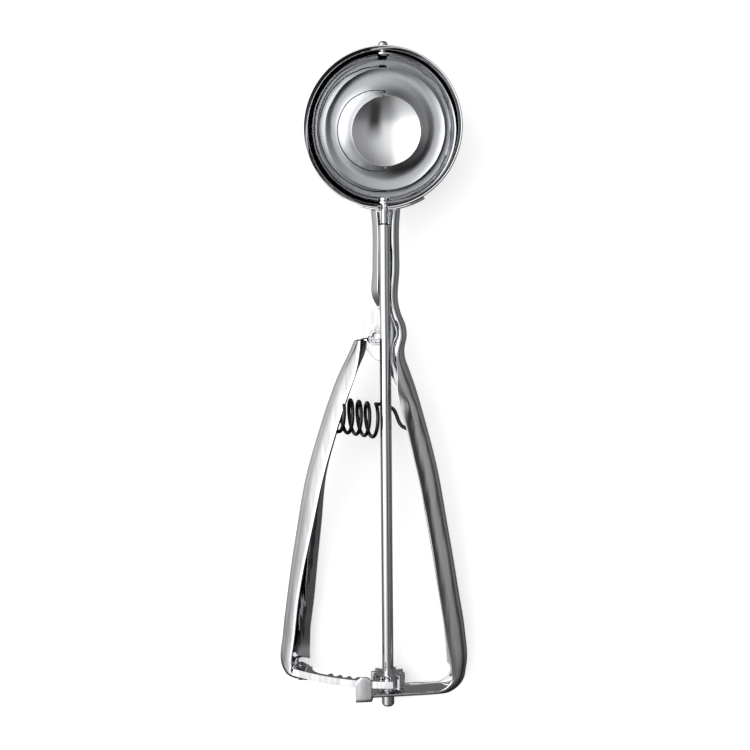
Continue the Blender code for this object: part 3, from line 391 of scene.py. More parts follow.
def settle(piece, body, node, finish):
    """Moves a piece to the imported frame, polishes its shading and lets it stand for its CAD node."""
    piece.data.transform(SCOOP)
    piece.data.materials.clear()
    polish(piece, finish)
    only(piece)
    bpy.ops.object.shade_smooth_by_angle(angle=SMOOTH_ANGLE)
    modify(piece, "WEIGHTED_NORMAL", keep_sharp=True)
    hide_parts(node)
    if body:
        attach(piece, body)
    return piece


# How far small turned pieces and broad sheet edges are rounded
SMALL_EDGE = 0.12 * MM
SOFT_EDGE = 0.2 * MM


def tube(bore, radius, low, high):
    """The closed profile of a plain ring or sleeve."""
    return [(bore, high), (radius, high), (radius, low), (bore, low), (bore, high)]


def turned_part(name, profile, body, node, width, limit=35, **place):
    """Turns a bright piece from its profile, rounds its edges and settles it."""
    piece = bevel(turned_piece(name, profile, **place), width, limit=limit)
    return settle(piece, body, node, "turned")


class Scoop:
    """All the sizes, and the places that follow from them, in the scoop's own frame."""

    def __init__(self, scene):
        for name in SIZES:
            setattr(self, name, getattr(scene, "scoop_" + name))
        gear, rod, gaps, handle = self.gear, self.rod, self.gaps, self.handle
        slope, thick = math.tan(handle.foot_slope), self.sheet.thickness
        self.pitch_radius = gear.teeth * gear.pitch / math.tau
        self.half_tooth = gear.pitch / 4 - gear.backlash / 4
        self.rack_angle = math.asin(-PIVOT.x / gear.rack_radius)
        self.rivet_angle = math.asin((gear.rivet_x + PIVOT.x) / gear.rack_radius)
        self.rivet_hole = gear.rivet_radius + gaps.slip
        rack_y = PIVOT.y - gear.rack_radius * math.cos(self.rack_angle)
        self.pinion_top = rack_y + gear.rack_sheet / 2 + gear.above_rack
        self.pinion_bottom = self.pinion_top - gear.height
        self.washer_bottom = self.pinion_bottom - gaps.slip - rod.washer_sheet
        self.foot_bottom = self.washer_bottom - gaps.seat - rod.washer_radius * slope - thick
        self.cap_top = self.foot_bottom - gaps.seat - rod.cap_radius * slope
        self.tooth_tip = self.pitch_radius - gear.addendum
        self.tooth_root = self.pitch_radius + gear.addendum + gear.clearance
        self.rack_front = self.tooth_root + gear.rack_back
        self.tab_rear = self.rack_front + handle.tab_gap
        self.ear_rear = -self.sheet.rear + thick + gaps.seat
        self.ear_front = self.ear_rear + thick
        self.bowl_outer = self.bowl.inner_radius + self.bowl.wall
        self.blade_outer = self.bowl.inner_radius - self.wiper.gap
        self.blade_inner = self.blade_outer - self.wiper.thickness


# A drill's reach through the whole scoop, and the place of what lies on the pivot's axis
THROUGH = 12 * MM
ON_PIVOT = {"axis": "Z", "centre": (PIVOT.x, PIVOT.y, 0)}


def drill(piece, radius, middle, reach=4 * MM, segments=40, **place):
    """Bores a hole either side of a height on the rod's line, or on the axis of the given place."""
    profile = [(0, middle + reach), (radius, middle + reach), (radius, middle - reach), (0, middle - reach)]
    return cut_or_join(piece, turned_piece("drill", profile, segments, **place), "DIFFERENCE")


def notch_cutter(scoop):
    """The slot for the rod's neck, round at the bottom and open at the rim."""
    half, up = scoop.bowl.notch, 3 * scoop.bowl.collar
    outline = [(half, -up)] + arc((0, 0), half, 0, 180, 16) + [(-half, -up)]
    return plate_piece("rod_notch", outline, -scoop.bowl_outer - 5 * MM, -scoop.bowl_outer + 5 * MM,
                       upright="Y")


class SCOOP_OT_bowl(bpy.types.Operator):
    """Model the pressed bowl: a polished hemisphere with a straight collar and a turned lip"""

    bl_idname = "scoop.bowl"
    bl_label = "Bowl"

    def execute(self, context):
        scoop = Scoop(context.scene)
        sizes, inner, outer, rim = scoop.bowl, scoop.bowl.inner_radius, scoop.bowl_outer, scoop.bowl.collar
        lip = outer + sizes.lip
        round_in, round_out, funnel = 0.6 * MM, 0.3 * MM, lip - inner
        profile = [(0, -inner), *arc((0, 0), inner, -90, 0, 48)[1:], (inner, rim * 0.3)]
        profile += arc((inner + round_in, rim - funnel), round_in, 180, 138, 6)
        profile += arc((lip - round_out, rim - round_out), round_out, 132, 0, 10)
        profile += arc((lip - round_out, rim - sizes.lip_height + round_out * 0.5), round_out, 0, -80, 6)
        profile += [(outer, rim - sizes.lip_height - 0.5 * MM), (outer, rim * 0.3)]
        profile += [*arc((0, 0), outer, 0, -90, 48)[:-1], (0, -outer)]
        bowl = turned_piece("bowl_skin", profile, segments=180, axis="Z")
        drill(bowl, scoop.wiper.pin + 0.25 * MM, outer, 2.5 * MM)
        cut_or_join(bowl, notch_cutter(scoop), "DIFFERENCE")
        settle(bowl, "frame_and_bowl", "bowl", "bowl")
        return {"FINISHED"}


# The share of the saddle's half width at full height, how much it narrows past it, and how roundly
SADDLE_FULL = 0.55
SADDLE_NARROWING = 0.45
SADDLE_ROUNDING = 1.6


class SCOOP_OT_saddle(bpy.types.Operator):
    """Model the curved plate that carries the bowl on its stem"""

    bl_idname = "scoop.saddle"
    bl_label = "Saddle"

    def execute(self, context):
        scoop = Scoop(context.scene)
        sizes, inner = scoop.bowl, scoop.bowl_outer + scoop.gaps.seat
        outer = inner + sizes.saddle_sheet

        def reach(radius, z):
            return radius if z > 0 else math.sqrt(radius**2 - z**2)

        rings = []
        for side in np.linspace(-1, 1, 61):
            swing = side * sizes.saddle_turn
            past = max(0.0, abs(side) - SADDLE_FULL) / (1 - SADDLE_FULL)
            taper = 1 - SADDLE_NARROWING * past**SADDLE_ROUNDING
            heights = [z * taper for z in np.linspace(sizes.saddle_top, -sizes.saddle_depth, 21)]
            ring = [(reach(inner, z), z) for z in heights] + [(reach(outer, z), z) for z in reversed(heights)]
            rings.append([(radius * math.sin(swing), -radius * math.cos(swing), z) for radius, z in ring])
        saddle = bevel(ring_loft("saddle_plate", rings), SOFT_EDGE, limit=50)
        cut_or_join(saddle, notch_cutter(scoop), "DIFFERENCE")
        settle(saddle, "frame_and_bowl", "bowl_saddle", "sheet")
        return {"FINISHED"}


def bend_points(corner, radius, middle, flat):
    """A quarter bend of the sheet, from round (flat 0) to a plain slanting facet (flat 1)."""
    round_points = arc((middle[0], middle[1]), radius, *corner, 10)
    first, last = Vector(round_points[0]), Vector(round_points[-1])
    points = []
    for index, point in enumerate(round_points):
        straight = first.lerp(last, index / (len(round_points) - 1))
        points.append(tuple(Vector(point).lerp(straight, flat)))
    return points


# The steps along a bent sheet, its tightest inner bend and thinnest edge, the widths over which the press
# creases, hems and sags it, and the steepest crown
ROW_STEP = 1.5 * MM
TIGHT_BEND = 0.15 * MM
THIN_EDGE = 0.03 * MM
CREASE_WIDTH = 1.6 * MM
HEM_WIDTH = 0.9 * MM
SAG_WIDTH = 5 * MM
STEEP_CROWN = 0.33


def channel_ring(row, rear_z, sheet, flat_bend=0.0, curl=0.0, sag=0.0, crease=0.0, hem=0.0):
    """One section of a bent sheet: rear flange, web and front flange, all its edges rounded."""
    x, y, inward, front_z, rear_width, front_width, corner, lean = row
    thick = sheet.thickness
    across = Vector((math.cos(inward), math.sin(inward), 0))
    base = Vector((x, y, 0))
    corner = max(corner, thick + TIGHT_BEND)

    def edge(width):
        return max(THIN_EDGE, min(sheet.edge, width - corner))

    rear_edge, front_edge = edge(rear_width), edge(front_width)
    face = np.linspace(corner, front_width - front_edge, 14)[1:-1]
    back = np.linspace(corner, rear_width - rear_edge, 8)[1:-1]
    flat = arc((rear_width - rear_edge, rear_z + rear_edge), rear_edge, 0, -90, 4)
    flat += [(depth, rear_z) for depth in back[::-1]]
    flat += arc((corner, rear_z + corner), corner, 270, 180, 10)
    flat += bend_points((180, 90), corner, (corner, front_z - corner), flat_bend)
    flat += [(depth, front_z) for depth in face]
    flat += arc((front_width - front_edge, front_z - front_edge), front_edge, 90, 0, 4)
    flat += arc((front_width - front_edge, front_z - thick + front_edge), front_edge, 0, -90, 4)
    flat += [(depth, front_z - thick) for depth in face[::-1]]
    flat += bend_points((90, 180), corner - thick, (corner, front_z - corner), flat_bend)
    flat += arc((corner, rear_z + corner), corner - thick, 180, 270, 8)
    flat += [(depth, rear_z + thick) for depth in back]
    flat += arc((rear_width - rear_edge, rear_z + thick - rear_edge), rear_edge, 90, 0, 4)
    crown = min(STEEP_CROWN, sheet.crown * math.tan(max(0.0, lean)))
    ring = []
    for depth, z in flat:
        share = max(0.0, (z - rear_z) / (front_z - rear_z))
        reach = min(1.0, max(0.0, (depth - corner) / (front_width - corner)))
        past = max(0.0, front_width - depth)
        drop = math.tan(lean) * (front_width - depth) + crown * past * past / front_width
        drop += 4 * reach * (1 - reach) * sheet.dish
        drop += crease * (1 - max(0.0, 1 - max(0.0, depth - corner) / CREASE_WIDTH) ** 2)
        drop = (drop - hem * max(0.0, 1 - past / HEM_WIDTH)) * share ** 3
        low = max(0.0, 1 - share)
        rise = curl * max(0.0, depth - corner - 0.5 * MM) ** 2 / (rear_width + 1 * MM) * low ** 3
        rise -= sag * max(0.0, 1 - depth / SAG_WIDTH) * low
        ring.append(base + across * depth + Vector((0, 0, z - drop + rise)))
    return ring


def channel(name, rows, rear_z, sheet, sag=0.0, **press):
    """A bent sheet along its rows, whose base sags down to 14 to 24 mm below the pivot."""
    rings = []
    for row in smooth_rows(rows, ROW_STEP):
        level = rear_z(row[1]) if callable(rear_z) else rear_z
        fade = min(1.0, max(0.0, (row[1] - PIVOT.y + 24 * MM) / (10 * MM)))
        rings.append(channel_ring(row, level, sheet, sag=sag * fade, **press))
    return ring_loft(name, rings)


# The right handle's bow: share of the drop, share of the spread, and shares of the flange widths
HANDLE_BOW = (
    (0.15, 0.375, 0.85, 0.93), (0.25, 0.505, 0.93, 1.0), (0.38, 0.650, 1.0, 1.03), (0.50, 0.745, 1.0, 0.97),
    (0.61, 0.830, 1.0, 0.97), (0.72, 0.910, 1.0, 1.0), (0.82, 0.980, 1.0, 1.0),
)


def foot_height(scoop, x):
    """The underside of the foot plate, which slopes down towards its free end."""
    return scoop.foot_bottom + x * math.tan(scoop.handle.foot_slope)


def frame_rows(scoop):
    """The frame's outer edge from the bowl down the stem and right handle and round the foot.

    Each row holds x, y, the direction of the flanges, the front's height, the widths of the rear and
    front flanges, the bend radius and the front's lean.
    """
    sheet, handle = scoop.sheet, scoop.handle
    half, lip, top, bend = sheet.stem_half, sheet.stem_lip, sheet.stem_front, sheet.stem_corner
    start = -scoop.bowl_outer + 2 * MM
    flare, waist, bulge = half + sheet.stem_flare, half - 0.4 * MM, half + 2.5 * MM
    down = PIVOT.y
    # the stem's rows: right side, height, left end of the base, front's height, front's width, bend
    stem = (
        (flare, start, -flare, top, lip, bend),
        (flare - 0.3 * MM, start - 3 * MM, -flare + 0.3 * MM, top, lip, bend),
        (half, start - 8 * MM, -half, top, lip, bend),
        (half, (start + down) / 2, -half, top, lip, bend),
        (waist, down + 11 * MM, -half, top, lip, bend),
        (waist + 0.9 * MM, down + 7.5 * MM, -6.2 * MM, top, lip, bend),
        (bulge - 0.4 * MM, down + 3.5 * MM, -7.2 * MM, 0.9 * MM, lip, bend),
        (bulge, down, -7.6 * MM, 1.5 * MM, lip, bend),
        (bulge - 0.9 * MM, down - 5.5 * MM, -6.8 * MM, 2.6 * MM, 1.9 * MM, 1.5 * MM),
        (bulge - 0.7 * MM, down - 8 * MM, -4.3 * MM, 3.3 * MM, 2.2 * MM, 1.7 * MM),
        (bulge + 0.7 * MM, down - 12 * MM, -0.6 * MM, 4.3 * MM, 3.2 * MM, 1.9 * MM),
    )
    rows = [(x, y, math.pi, front, x - base, wide, corner, sheet.stem_lean)
            for x, y, base, front, wide, corner in stem]
    drop = -scoop.foot_bottom + down
    for fall, out, rear, front in HANDLE_BOW:
        rows.append((handle.spread * out, down - drop * fall, math.pi, sheet.front,
                     handle.rear_flange * rear, handle.front_flange * front, sheet.corner, handle.lean))
    return rows + foot_rows(scoop)


def foot_rows(scoop):
    """The bend at the handle's end and the foot plate, whose flanges are trimmed to its edges."""
    sheet, handle = scoop.sheet, scoop.handle
    flat, thin, bend = 1.35 * MM, 1.3 * MM, handle.foot_bend
    centre_x = handle.spread - bend
    centre_y = foot_height(scoop, centre_x) + bend
    last = 90 + math.degrees(handle.foot_slope)
    rows = []
    for swing, share in ((0, 0.92), (25, 0.75), (50, 0.5), (72, 0.28), (last, 0)):
        angle = math.radians(-swing)
        rear = flat + (handle.rear_flange - flat) * share
        front = flat + (handle.front_flange - flat) * share * 0.8
        corner = thin + (sheet.corner - thin) * min(1.0, 2 * share)
        rows.append((centre_x + bend * math.cos(angle), centre_y + bend * math.sin(angle), angle + math.pi,
                     sheet.front, rear, front, corner, handle.lean * share))
    inward = math.pi / 2 - handle.foot_slope
    for x in (0.5 * centre_x, 0, -handle.foot_reach):
        rows.append((x, foot_height(scoop, x), inward, sheet.front, flat, flat, thin, 0))
    return rows


def left_side_rows(scoop):
    """The stem's left side, which runs down to a point above the pivot plate."""
    sheet = scoop.sheet
    side, lip, top, bend = sheet.stem_half, sheet.side_lip, sheet.stem_front, sheet.stem_corner
    flare = side + sheet.stem_flare
    start, end = -scoop.bowl_outer + 2 * MM, PIVOT.y + 10.4 * MM
    deep, lean = 3 * MM, sheet.side_lean
    rows = [(-side + 1.3 * MM, end, 0, -sheet.rear + 3.4 * MM, deep, 1.2 * MM, bend, lean),
            (-side, end + 3 * MM, 0, top - 0.3 * MM, deep, lip, bend, lean)]
    for x, y in ((-side, end + 14 * MM), (-side, start - 8 * MM), (-flare + 0.3 * MM, start - 3 * MM),
                 (-flare, start)):
        rows.append((x, y, 0, top, deep, lip, bend, lean))
    return rows


def guide_tab(scoop):
    """The tongue at the foot's free end, bent up in front of the rack and rounded at its top."""
    sheet, handle = scoop.sheet, scoop.handle
    thick, bend, height = sheet.thickness, 1.8 * MM, handle.tab_height
    inner_z, outer_z = sheet.front - 2 * MM, scoop.tab_rear + sheet.thickness
    rises = [height * share for share in (0.3, 0.5, 0.65, *np.linspace(0.74, 1.0, 14))]

    def side_line(skin):
        """One skin of the tongue, from the foot round the bend to its top."""
        line = [(inner_z, skin), (outer_z - bend, skin)]
        line += arc((outer_z - bend, bend), bend - skin, -80, 0, 8)
        return line + [(outer_z - skin, rise) for rise in rises]

    half = handle.tab_width / 2
    crown = half - 0.15 * MM
    middle = -handle.foot_reach + half
    rings = []
    for (z_out, up_out), (z_in, up_in) in zip(side_line(0), side_line(thick)):
        share = max(0.0, up_out - (height - crown)) / crown
        wide = half - crown + crown * math.sqrt(max(0.0, 1 - (0.97 * share) ** 2))
        ring = []
        sides = np.linspace(-1, 1, 9)
        for row, z, up, swell in ((sides, z_out, up_out, handle.tab_swell), (sides[::-1], z_in, up_in, 0)):
            for side in row:
                x = middle + side * wide
                ring.append((x, foot_height(scoop, x) + up, z + swell * (1 - side * side)))
        rings.append(ring)
    return bevel(ring_loft("guide_tab", rings), SOFT_EDGE, limit=50)


class SCOOP_OT_frame(bpy.types.Operator):
    """Model the frame stamping: stem channel, pivot plate, right handle, foot plate and rack guide"""

    bl_idname = "scoop.frame"
    bl_label = "Frame"

    def execute(self, context):
        scoop = Scoop(context.scene)
        sheet, gaps = scoop.sheet, scoop.gaps
        body = channel("frame_stamping", frame_rows(scoop), -sheet.rear, sheet, sag=sheet.sag)
        cut_or_join(body, channel("left_side", left_side_rows(scoop), -sheet.rear, sheet), "UNION")
        outline = [(min(x, sheet.plate_right), y) for x, y in arc(PIVOT, sheet.plate_radius, 0, 357, 119)]
        disc = plate_piece("pivot_plate", outline, -sheet.rear, -sheet.rear + sheet.thickness)
        cut_or_join(body, disc, "UNION")
        cut_or_join(body, guide_tab(scoop), "UNION")
        clear = scoop.bowl_outer + scoop.bowl.saddle_sheet + 2 * gaps.seat
        shell = [(0, -clear), *arc((0, 0), clear, -90, 0, 40)[1:], (clear, 15 * MM), (0, 15 * MM)]
        cut_or_join(body, turned_piece("bowl_room", shell, segments=160, axis="Z"), "DIFFERENCE")
        drill(body, scoop.rod.tail + gaps.seat, scoop.foot_bottom)
        drill(body, scoop.pivot.shank + gaps.slip, 0, THROUGH, segments=48, **ON_PIVOT)
        settle(body, "frame_and_bowl", "frame", "sheet")
        return {"FINISHED"}


# The lever's bow: share of the drop, share of the spread, and shares of the flange widths
LEVER_BOW = (
    (0.86, 0.99, 1.1, 1.0), (0.78, 0.957, 1.12, 0.98), (0.67, 0.905, 1.05, 1.08), (0.56, 0.845, 0.95, 1.25),
    (0.4, 0.745, 0.75, 1.4), (0.28, 0.63, 0.72, 1.4), (0.18, 0.52, 0.7, 1.38), (0.1, 0.415, 0.66, 1.3),
    (0.045, 0.325, 0.6, 0.85), (0.012, 0.278, 0.46, 0.55),
)
# The bend into the lever's toe: angle round the bend, and shares of the front and rear flange widths
TOE_BEND = ((250, 0.1, 0.15), (225, 0.3, 0.6), (200, 0.55, 0.9))


def lever_rows(scoop):
    """The lever's outer edge and widths, from its toe up to the pivot."""
    lever, gear, top = scoop.lever, scoop.gear, scoop.sheet.front
    toe_r = gear.rack_radius + gear.rack_sheet / 2 + lever.toe_offset + scoop.sheet.thickness
    flat = 1.9 * MM
    rows = []

    def toe(x):
        swing = math.asin((x + PIVOT.x) / toe_r)
        return -x, PIVOT.y - toe_r * math.cos(swing), swing

    corner_x = lever.spread - lever.toe_bend
    for x in (lever.toe_inner, (lever.toe_inner + corner_x) / 2):
        left, y, swing = toe(x)
        rows.append((left, y, math.pi / 2 - swing, top, flat, flat, 1.5 * MM, 0))
    left, y, swing = toe(corner_x)
    for angle, share, width in TOE_BEND:
        x = left + lever.toe_bend * math.cos(math.radians(angle))
        up = y + lever.toe_bend + lever.toe_bend * math.sin(math.radians(angle))
        rear = flat + (lever.rear_flange - flat) * width
        front = flat + (lever.front_flange - flat) * share
        rows.append((x, up, math.radians(angle - 180), top, rear, front, lever.corner, lever.lean * share))
    for fall, out, rear, front in LEVER_BOW:
        rows.append((-lever.spread * out, PIVOT.y - gear.rack_radius * fall, 0, top, lever.rear_flange * rear,
                     lever.front_flange * front, lever.corner, lever.lean))
    return rows


def ear_outline(lever):
    """The flat ear: a rounded plate from the web, round the pivot, to behind the rod."""
    top, right, bottom = lever.ear_top, lever.ear_right, -lever.ear_bottom
    rows = [
        (0.8 * MM, top), (-3.4 * MM, top - 2.4 * MM), (-5.4 * MM, top - 6.1 * MM), (-6.0 * MM, 0),
        (-6.2 * MM, -3.0 * MM), (-3.6 * MM, -5.2 * MM), (0.7 * MM, bottom), (4.2 * MM, bottom),
        (right, -3 * MM), (right, 3 * MM), (4.2 * MM, top - 1.6 * MM), (0.8 * MM, top),
    ]
    rows = [(PIVOT.x + x, PIVOT.y + y) for x, y in rows]
    return [tuple(row) for row in smooth_rows(rows, 0.5 * MM)[:-1]]


class SCOOP_OT_lever(bpy.types.Operator):
    """Model the left handle with its flat ear and the toe that carries the rack"""

    bl_idname = "scoop.lever"
    bl_label = "Lever"

    def execute(self, context):
        scoop = Scoop(context.scene)
        lever, sheet, hole = scoop.lever, scoop.sheet, scoop.rivet_hole
        step_start, step_length = PIVOT.y - 9 * MM, 9 * MM

        def rear(y):
            ease = min(1.0, max(0.0, (step_start - y) / step_length))
            ease = ease * ease * (3 - 2 * ease)
            return scoop.ear_rear + (-sheet.rear - scoop.ear_rear) * ease

        body = channel("lever_stamping", lever_rows(scoop), rear, sheet, flat_bend=lever.flat_bend,
                       curl=lever.curl, crease=lever.crease, hem=lever.hem)
        ear = plate_piece("ear", ear_outline(lever), scoop.ear_rear, scoop.ear_front)
        cut_or_join(body, bevel(ear, 0.18 * MM), "UNION")
        drill(body, scoop.pivot.shank + scoop.gaps.slip, 0, THROUGH, segments=48, **ON_PIVOT)
        cutter = [(0, 3 * MM), (hole, 3 * MM), (hole, -7 * MM), (0, -7 * MM)]
        cut_or_join(body, rivet_line(scoop, cutter, "toe_hole"), "DIFFERENCE")
        settle(body, "left_handle", "lever", "sheet")
        return {"FINISHED"}


def rivet_line(scoop, profile, name):
    """Turns a profile on the line from the pivot through the rack's rivet, heights from the rack."""
    piece = turned_piece(name, profile, segments=40, axis="Z")
    swing, reach = scoop.rivet_angle, scoop.gear.rack_radius
    place = Matrix.Rotation(-swing, 4, "Z") @ Matrix.Rotation(-math.pi / 2, 4, "X")
    place.translation = (PIVOT.x - reach * math.sin(swing), PIVOT.y - reach * math.cos(swing),
                         scoop.gear.rivet_z)
    piece.data.transform(place)
    return piece


class SCOOP_OT_rack(bpy.types.Operator):
    """Model the thin toothed strip, curved about the pivot, and the rivet that holds it"""

    bl_idname = "scoop.rack"
    bl_label = "Rack and its rivet"

    def execute(self, context):
        scoop = Scoop(context.scene)
        gear, slip = scoop.gear, scoop.gaps.slip
        root, tip, back = scoop.tooth_root, scoop.tooth_tip, scoop.rack_front
        slant = math.tan(gear.pressure)
        tip_half = scoop.half_tooth - gear.addendum * slant
        root_half = scoop.half_tooth + (gear.addendum + gear.clearance) * slant
        heel = gear.rack_radius * (-scoop.rivet_angle - scoop.rack_angle)
        heel_half, heel_rear = 2.1 * MM, gear.rivet_z - 2 * MM
        # where along the rack its rear edge lies: round the rivet, up the heel's slope and round each tooth
        columns = [(heel - heel_half, heel_rear), (heel, heel_rear), (heel + heel_half, heel_rear),
                   (heel + 3.4 * MM, heel_rear + 2.2 * MM), (heel + 5.4 * MM, root - 0.9 * MM),
                   (heel + 7.5 * MM, root)]
        for tooth in range(gear.rack_teeth - 1, -1, -1):
            middle = -gear.pitch * tooth
            columns += [(middle - root_half, root), (middle - tip_half, tip),
                        (middle + tip_half, tip), (middle + root_half, root)]
        columns.append((1.3 * gear.pitch / 2 + root_half / 2, root))
        half = gear.rack_sheet / 2
        near, far = gear.rack_radius - half, gear.rack_radius + half
        fold, low = back - gear.rack_fold_sheet, far + gear.rack_fold
        rings = []
        for along, rear in columns:
            swing = scoop.rack_angle + along / gear.rack_radius
            rings.append([(PIVOT.x + radius * math.sin(swing), PIVOT.y - radius * math.cos(swing), z)
                          for radius, z in ((near, rear), (far, rear), (far, fold), (low, fold), (low, back),
                                            (near, back - 0.35 * MM))])
        rack = bevel(ring_loft("rack_strip", rings), SMALL_EDGE, segments=2, limit=20)
        hole = [(0, 3 * MM), (scoop.rivet_hole, 3 * MM), (scoop.rivet_hole, -3 * MM), (0, -3 * MM)]
        cut_or_join(rack, rivet_line(scoop, hole, "rack_hole"), "DIFFERENCE")
        settle(rack, "left_handle", "rack", "sheet")
        skin = half + slip
        toe_near = half + scoop.lever.toe_offset - slip
        toe_far = toe_near + scoop.sheet.thickness + 2 * slip
        head, wide, shank = gear.rivet_head_sheet, gear.rivet_head, gear.rivet_radius
        profile = [(0, skin + head), (wide * 0.6, skin + head), (wide, skin + head * 0.4), (wide, skin),
                   (shank, skin), (shank, -skin), (wide * 0.9, -skin), (wide * 0.9, -toe_near),
                   (shank, -toe_near), (shank, -toe_far), (wide, -toe_far),
                   (wide, -toe_far - head * 0.6), (wide * 0.6, -toe_far - head), (0, -toe_far - head)]
        rivet = bevel(rivet_line(scoop, profile, "rack_pin"), SMALL_EDGE)
        settle(rivet, "left_handle", "rack_rivet", "turned")
        return {"FINISHED"}


class SCOOP_OT_pivot(bpy.types.Operator):
    """Model the pivot rivet, with its crimped head, and the ring under it"""

    bl_idname = "scoop.pivot"
    bl_label = "Pivot rivet and ring"

    def execute(self, context):
        scoop = Scoop(context.scene)
        sizes, slip = scoop.pivot, scoop.gaps.slip
        rear, washer_rear = -scoop.sheet.rear - slip, scoop.ear_front + slip
        head_rear = washer_rear + sizes.washer_sheet + slip
        front, thick = head_rear + sizes.head_sheet, sizes.back_sheet
        back, head, shank = sizes.head + 0.3 * MM, sizes.head, sizes.shank
        # the head's hollow middle, its inner ring, the groove, the outer ring, the shank and the rear head
        profile = [(0, front - 0.2 * MM), (0.9 * MM, front - 0.18 * MM), (1.2 * MM, front - 0.04 * MM),
                   (1.45 * MM, front), (1.7 * MM, front - 0.04 * MM), (1.85 * MM, front - 0.25 * MM),
                   (2.05 * MM, front - 0.25 * MM), (2.2 * MM, front - 0.03 * MM), (2.4 * MM, front),
                   (head - 0.2 * MM, front - 0.03 * MM),
                   (head, front - 0.2 * MM), (head, head_rear), (shank, head_rear), (shank, rear),
                   (back, rear), (back, rear - 0.4 * thick), (back * 0.8, rear - 0.8 * thick),
                   (back * 0.45, rear - thick), (0, rear - thick)]
        rivet = turned_piece("pivot_pin", profile, segments=96, **ON_PIVOT)
        crimp_head(rivet, front, head)
        settle(rivet, "frame_and_bowl", "pivot_rivet", "turned")
        profile = tube(shank + slip, sizes.washer, washer_rear, washer_rear + sizes.washer_sheet)
        turned_part("pivot_ring", profile, "frame_and_bowl", "pivot_washer", 0.08 * MM,
                    segments=96, **ON_PIVOT)
        return {"FINISHED"}


def crimp_head(rivet, front, head, crimps=9, depth=0.07 * MM):
    """Presses shallow crimps round the rivet's head, as a star punch leaves."""
    for point in rivet.data.vertices:
        out = Vector((point.co.x - PIVOT.x, point.co.y - PIVOT.y))
        if point.co.z > front - 0.06 * MM and 1.5 * MM < out.length < head - 0.1 * MM:
            wave = 0.5 + 0.5 * math.cos(crimps * math.atan2(out.y, out.x))
            point.co.z -= depth * wave**2


class SCOOP_OT_rod(bpy.types.Operator):
    """Model the long rod with its neck, the thrust washer and the formed end cap"""

    bl_idname = "scoop.rod"
    bl_label = "Rod, washer and cap"

    def execute(self, context):
        scoop = Scoop(context.scene)
        rod, slip = scoop.rod, scoop.gaps.slip
        tip = -scoop.blade_inner + slip + scoop.wiper.hub_length + slip
        neck = -scoop.bowl_outer - rod.neck_length
        end, shoulder, chamfer = scoop.cap_top - 0.6 * rod.cap_length, scoop.washer_bottom, 0.2 * MM
        profile = [(0, tip), (rod.neck - chamfer, tip), (rod.neck, tip - chamfer),
                   (rod.neck, neck + 0.5 * MM), (rod.radius - chamfer, neck - 0.1 * MM),
                   (rod.radius, neck - 0.5 * MM), (rod.radius, shoulder), (rod.tail, shoulder),
                   (rod.tail, end), (0, end)]
        turned_part("long_rod", profile, "wiper_shaft", "rod", SMALL_EDGE, segments=96)
        bore, wide, top, deep = rod.tail + slip, rod.cap_radius, scoop.cap_top, rod.cap_length
        profile = [(0, end - slip), (bore, end - slip), (bore, top), (wide, top),
                   (wide, top - deep + 0.8 * MM), (wide - 0.6 * MM, top - deep + 0.1 * MM),
                   (wide * 0.4, top - deep), (0, top - deep)]
        turned_part("end_cap", profile, "wiper_shaft", "rod_end_cap", SOFT_EDGE, segments=72, limit=20)
        profile = tube(rod.radius + slip, rod.washer_radius, shoulder, scoop.pinion_bottom - slip)
        turned_part("rod_washer", profile, "wiper_shaft", "thrust_washer", SMALL_EDGE, segments=72)
        return {"FINISHED"}


class SCOOP_OT_pinion(bpy.types.Operator):
    """Model the tall pinion with involute teeth"""

    bl_idname = "scoop.pinion"
    bl_label = "Pinion"

    def execute(self, context):
        scoop = Scoop(context.scene)
        gear, pitch_r = scoop.gear, scoop.pitch_radius
        base = pitch_r * math.cos(gear.pressure)
        half_pitch = scoop.half_tooth / pitch_r

        def half(radius):
            swing = math.acos(min(1.0, base / radius))
            return half_pitch + math.tan(gear.pressure) - gear.pressure - (math.tan(swing) - swing)

        side = [(pitch_r - gear.addendum - gear.clearance, half(base))]
        side += [(radius, half(radius)) for radius in np.linspace(base, pitch_r + gear.addendum, 9)]
        points = []
        for tooth in range(gear.teeth):
            middle = math.tau * (tooth + 0.5) / gear.teeth
            points += [(radius, middle - spread) for radius, spread in side]
            points += [(radius, middle + spread) for radius, spread in reversed(side)]
        outline = [(radius * math.sin(swing), -radius * math.cos(swing)) for radius, swing in points]
        pinion = plate_piece("pinion_wheel", outline, scoop.pinion_bottom, scoop.pinion_top, upright="Y")
        bevel(pinion, 0.15 * MM, limit=30)
        drill(pinion, scoop.rod.radius + scoop.gaps.slip, scoop.pinion_bottom, 2 * gear.height)
        settle(pinion, "wiper_shaft", "pinion", "turned")
        return {"FINISHED"}


# How soon the blade widens from its ends, and the square of its ends' least share of that width
BLADE_SWELL = 0.7
BLADE_TIP = 0.12


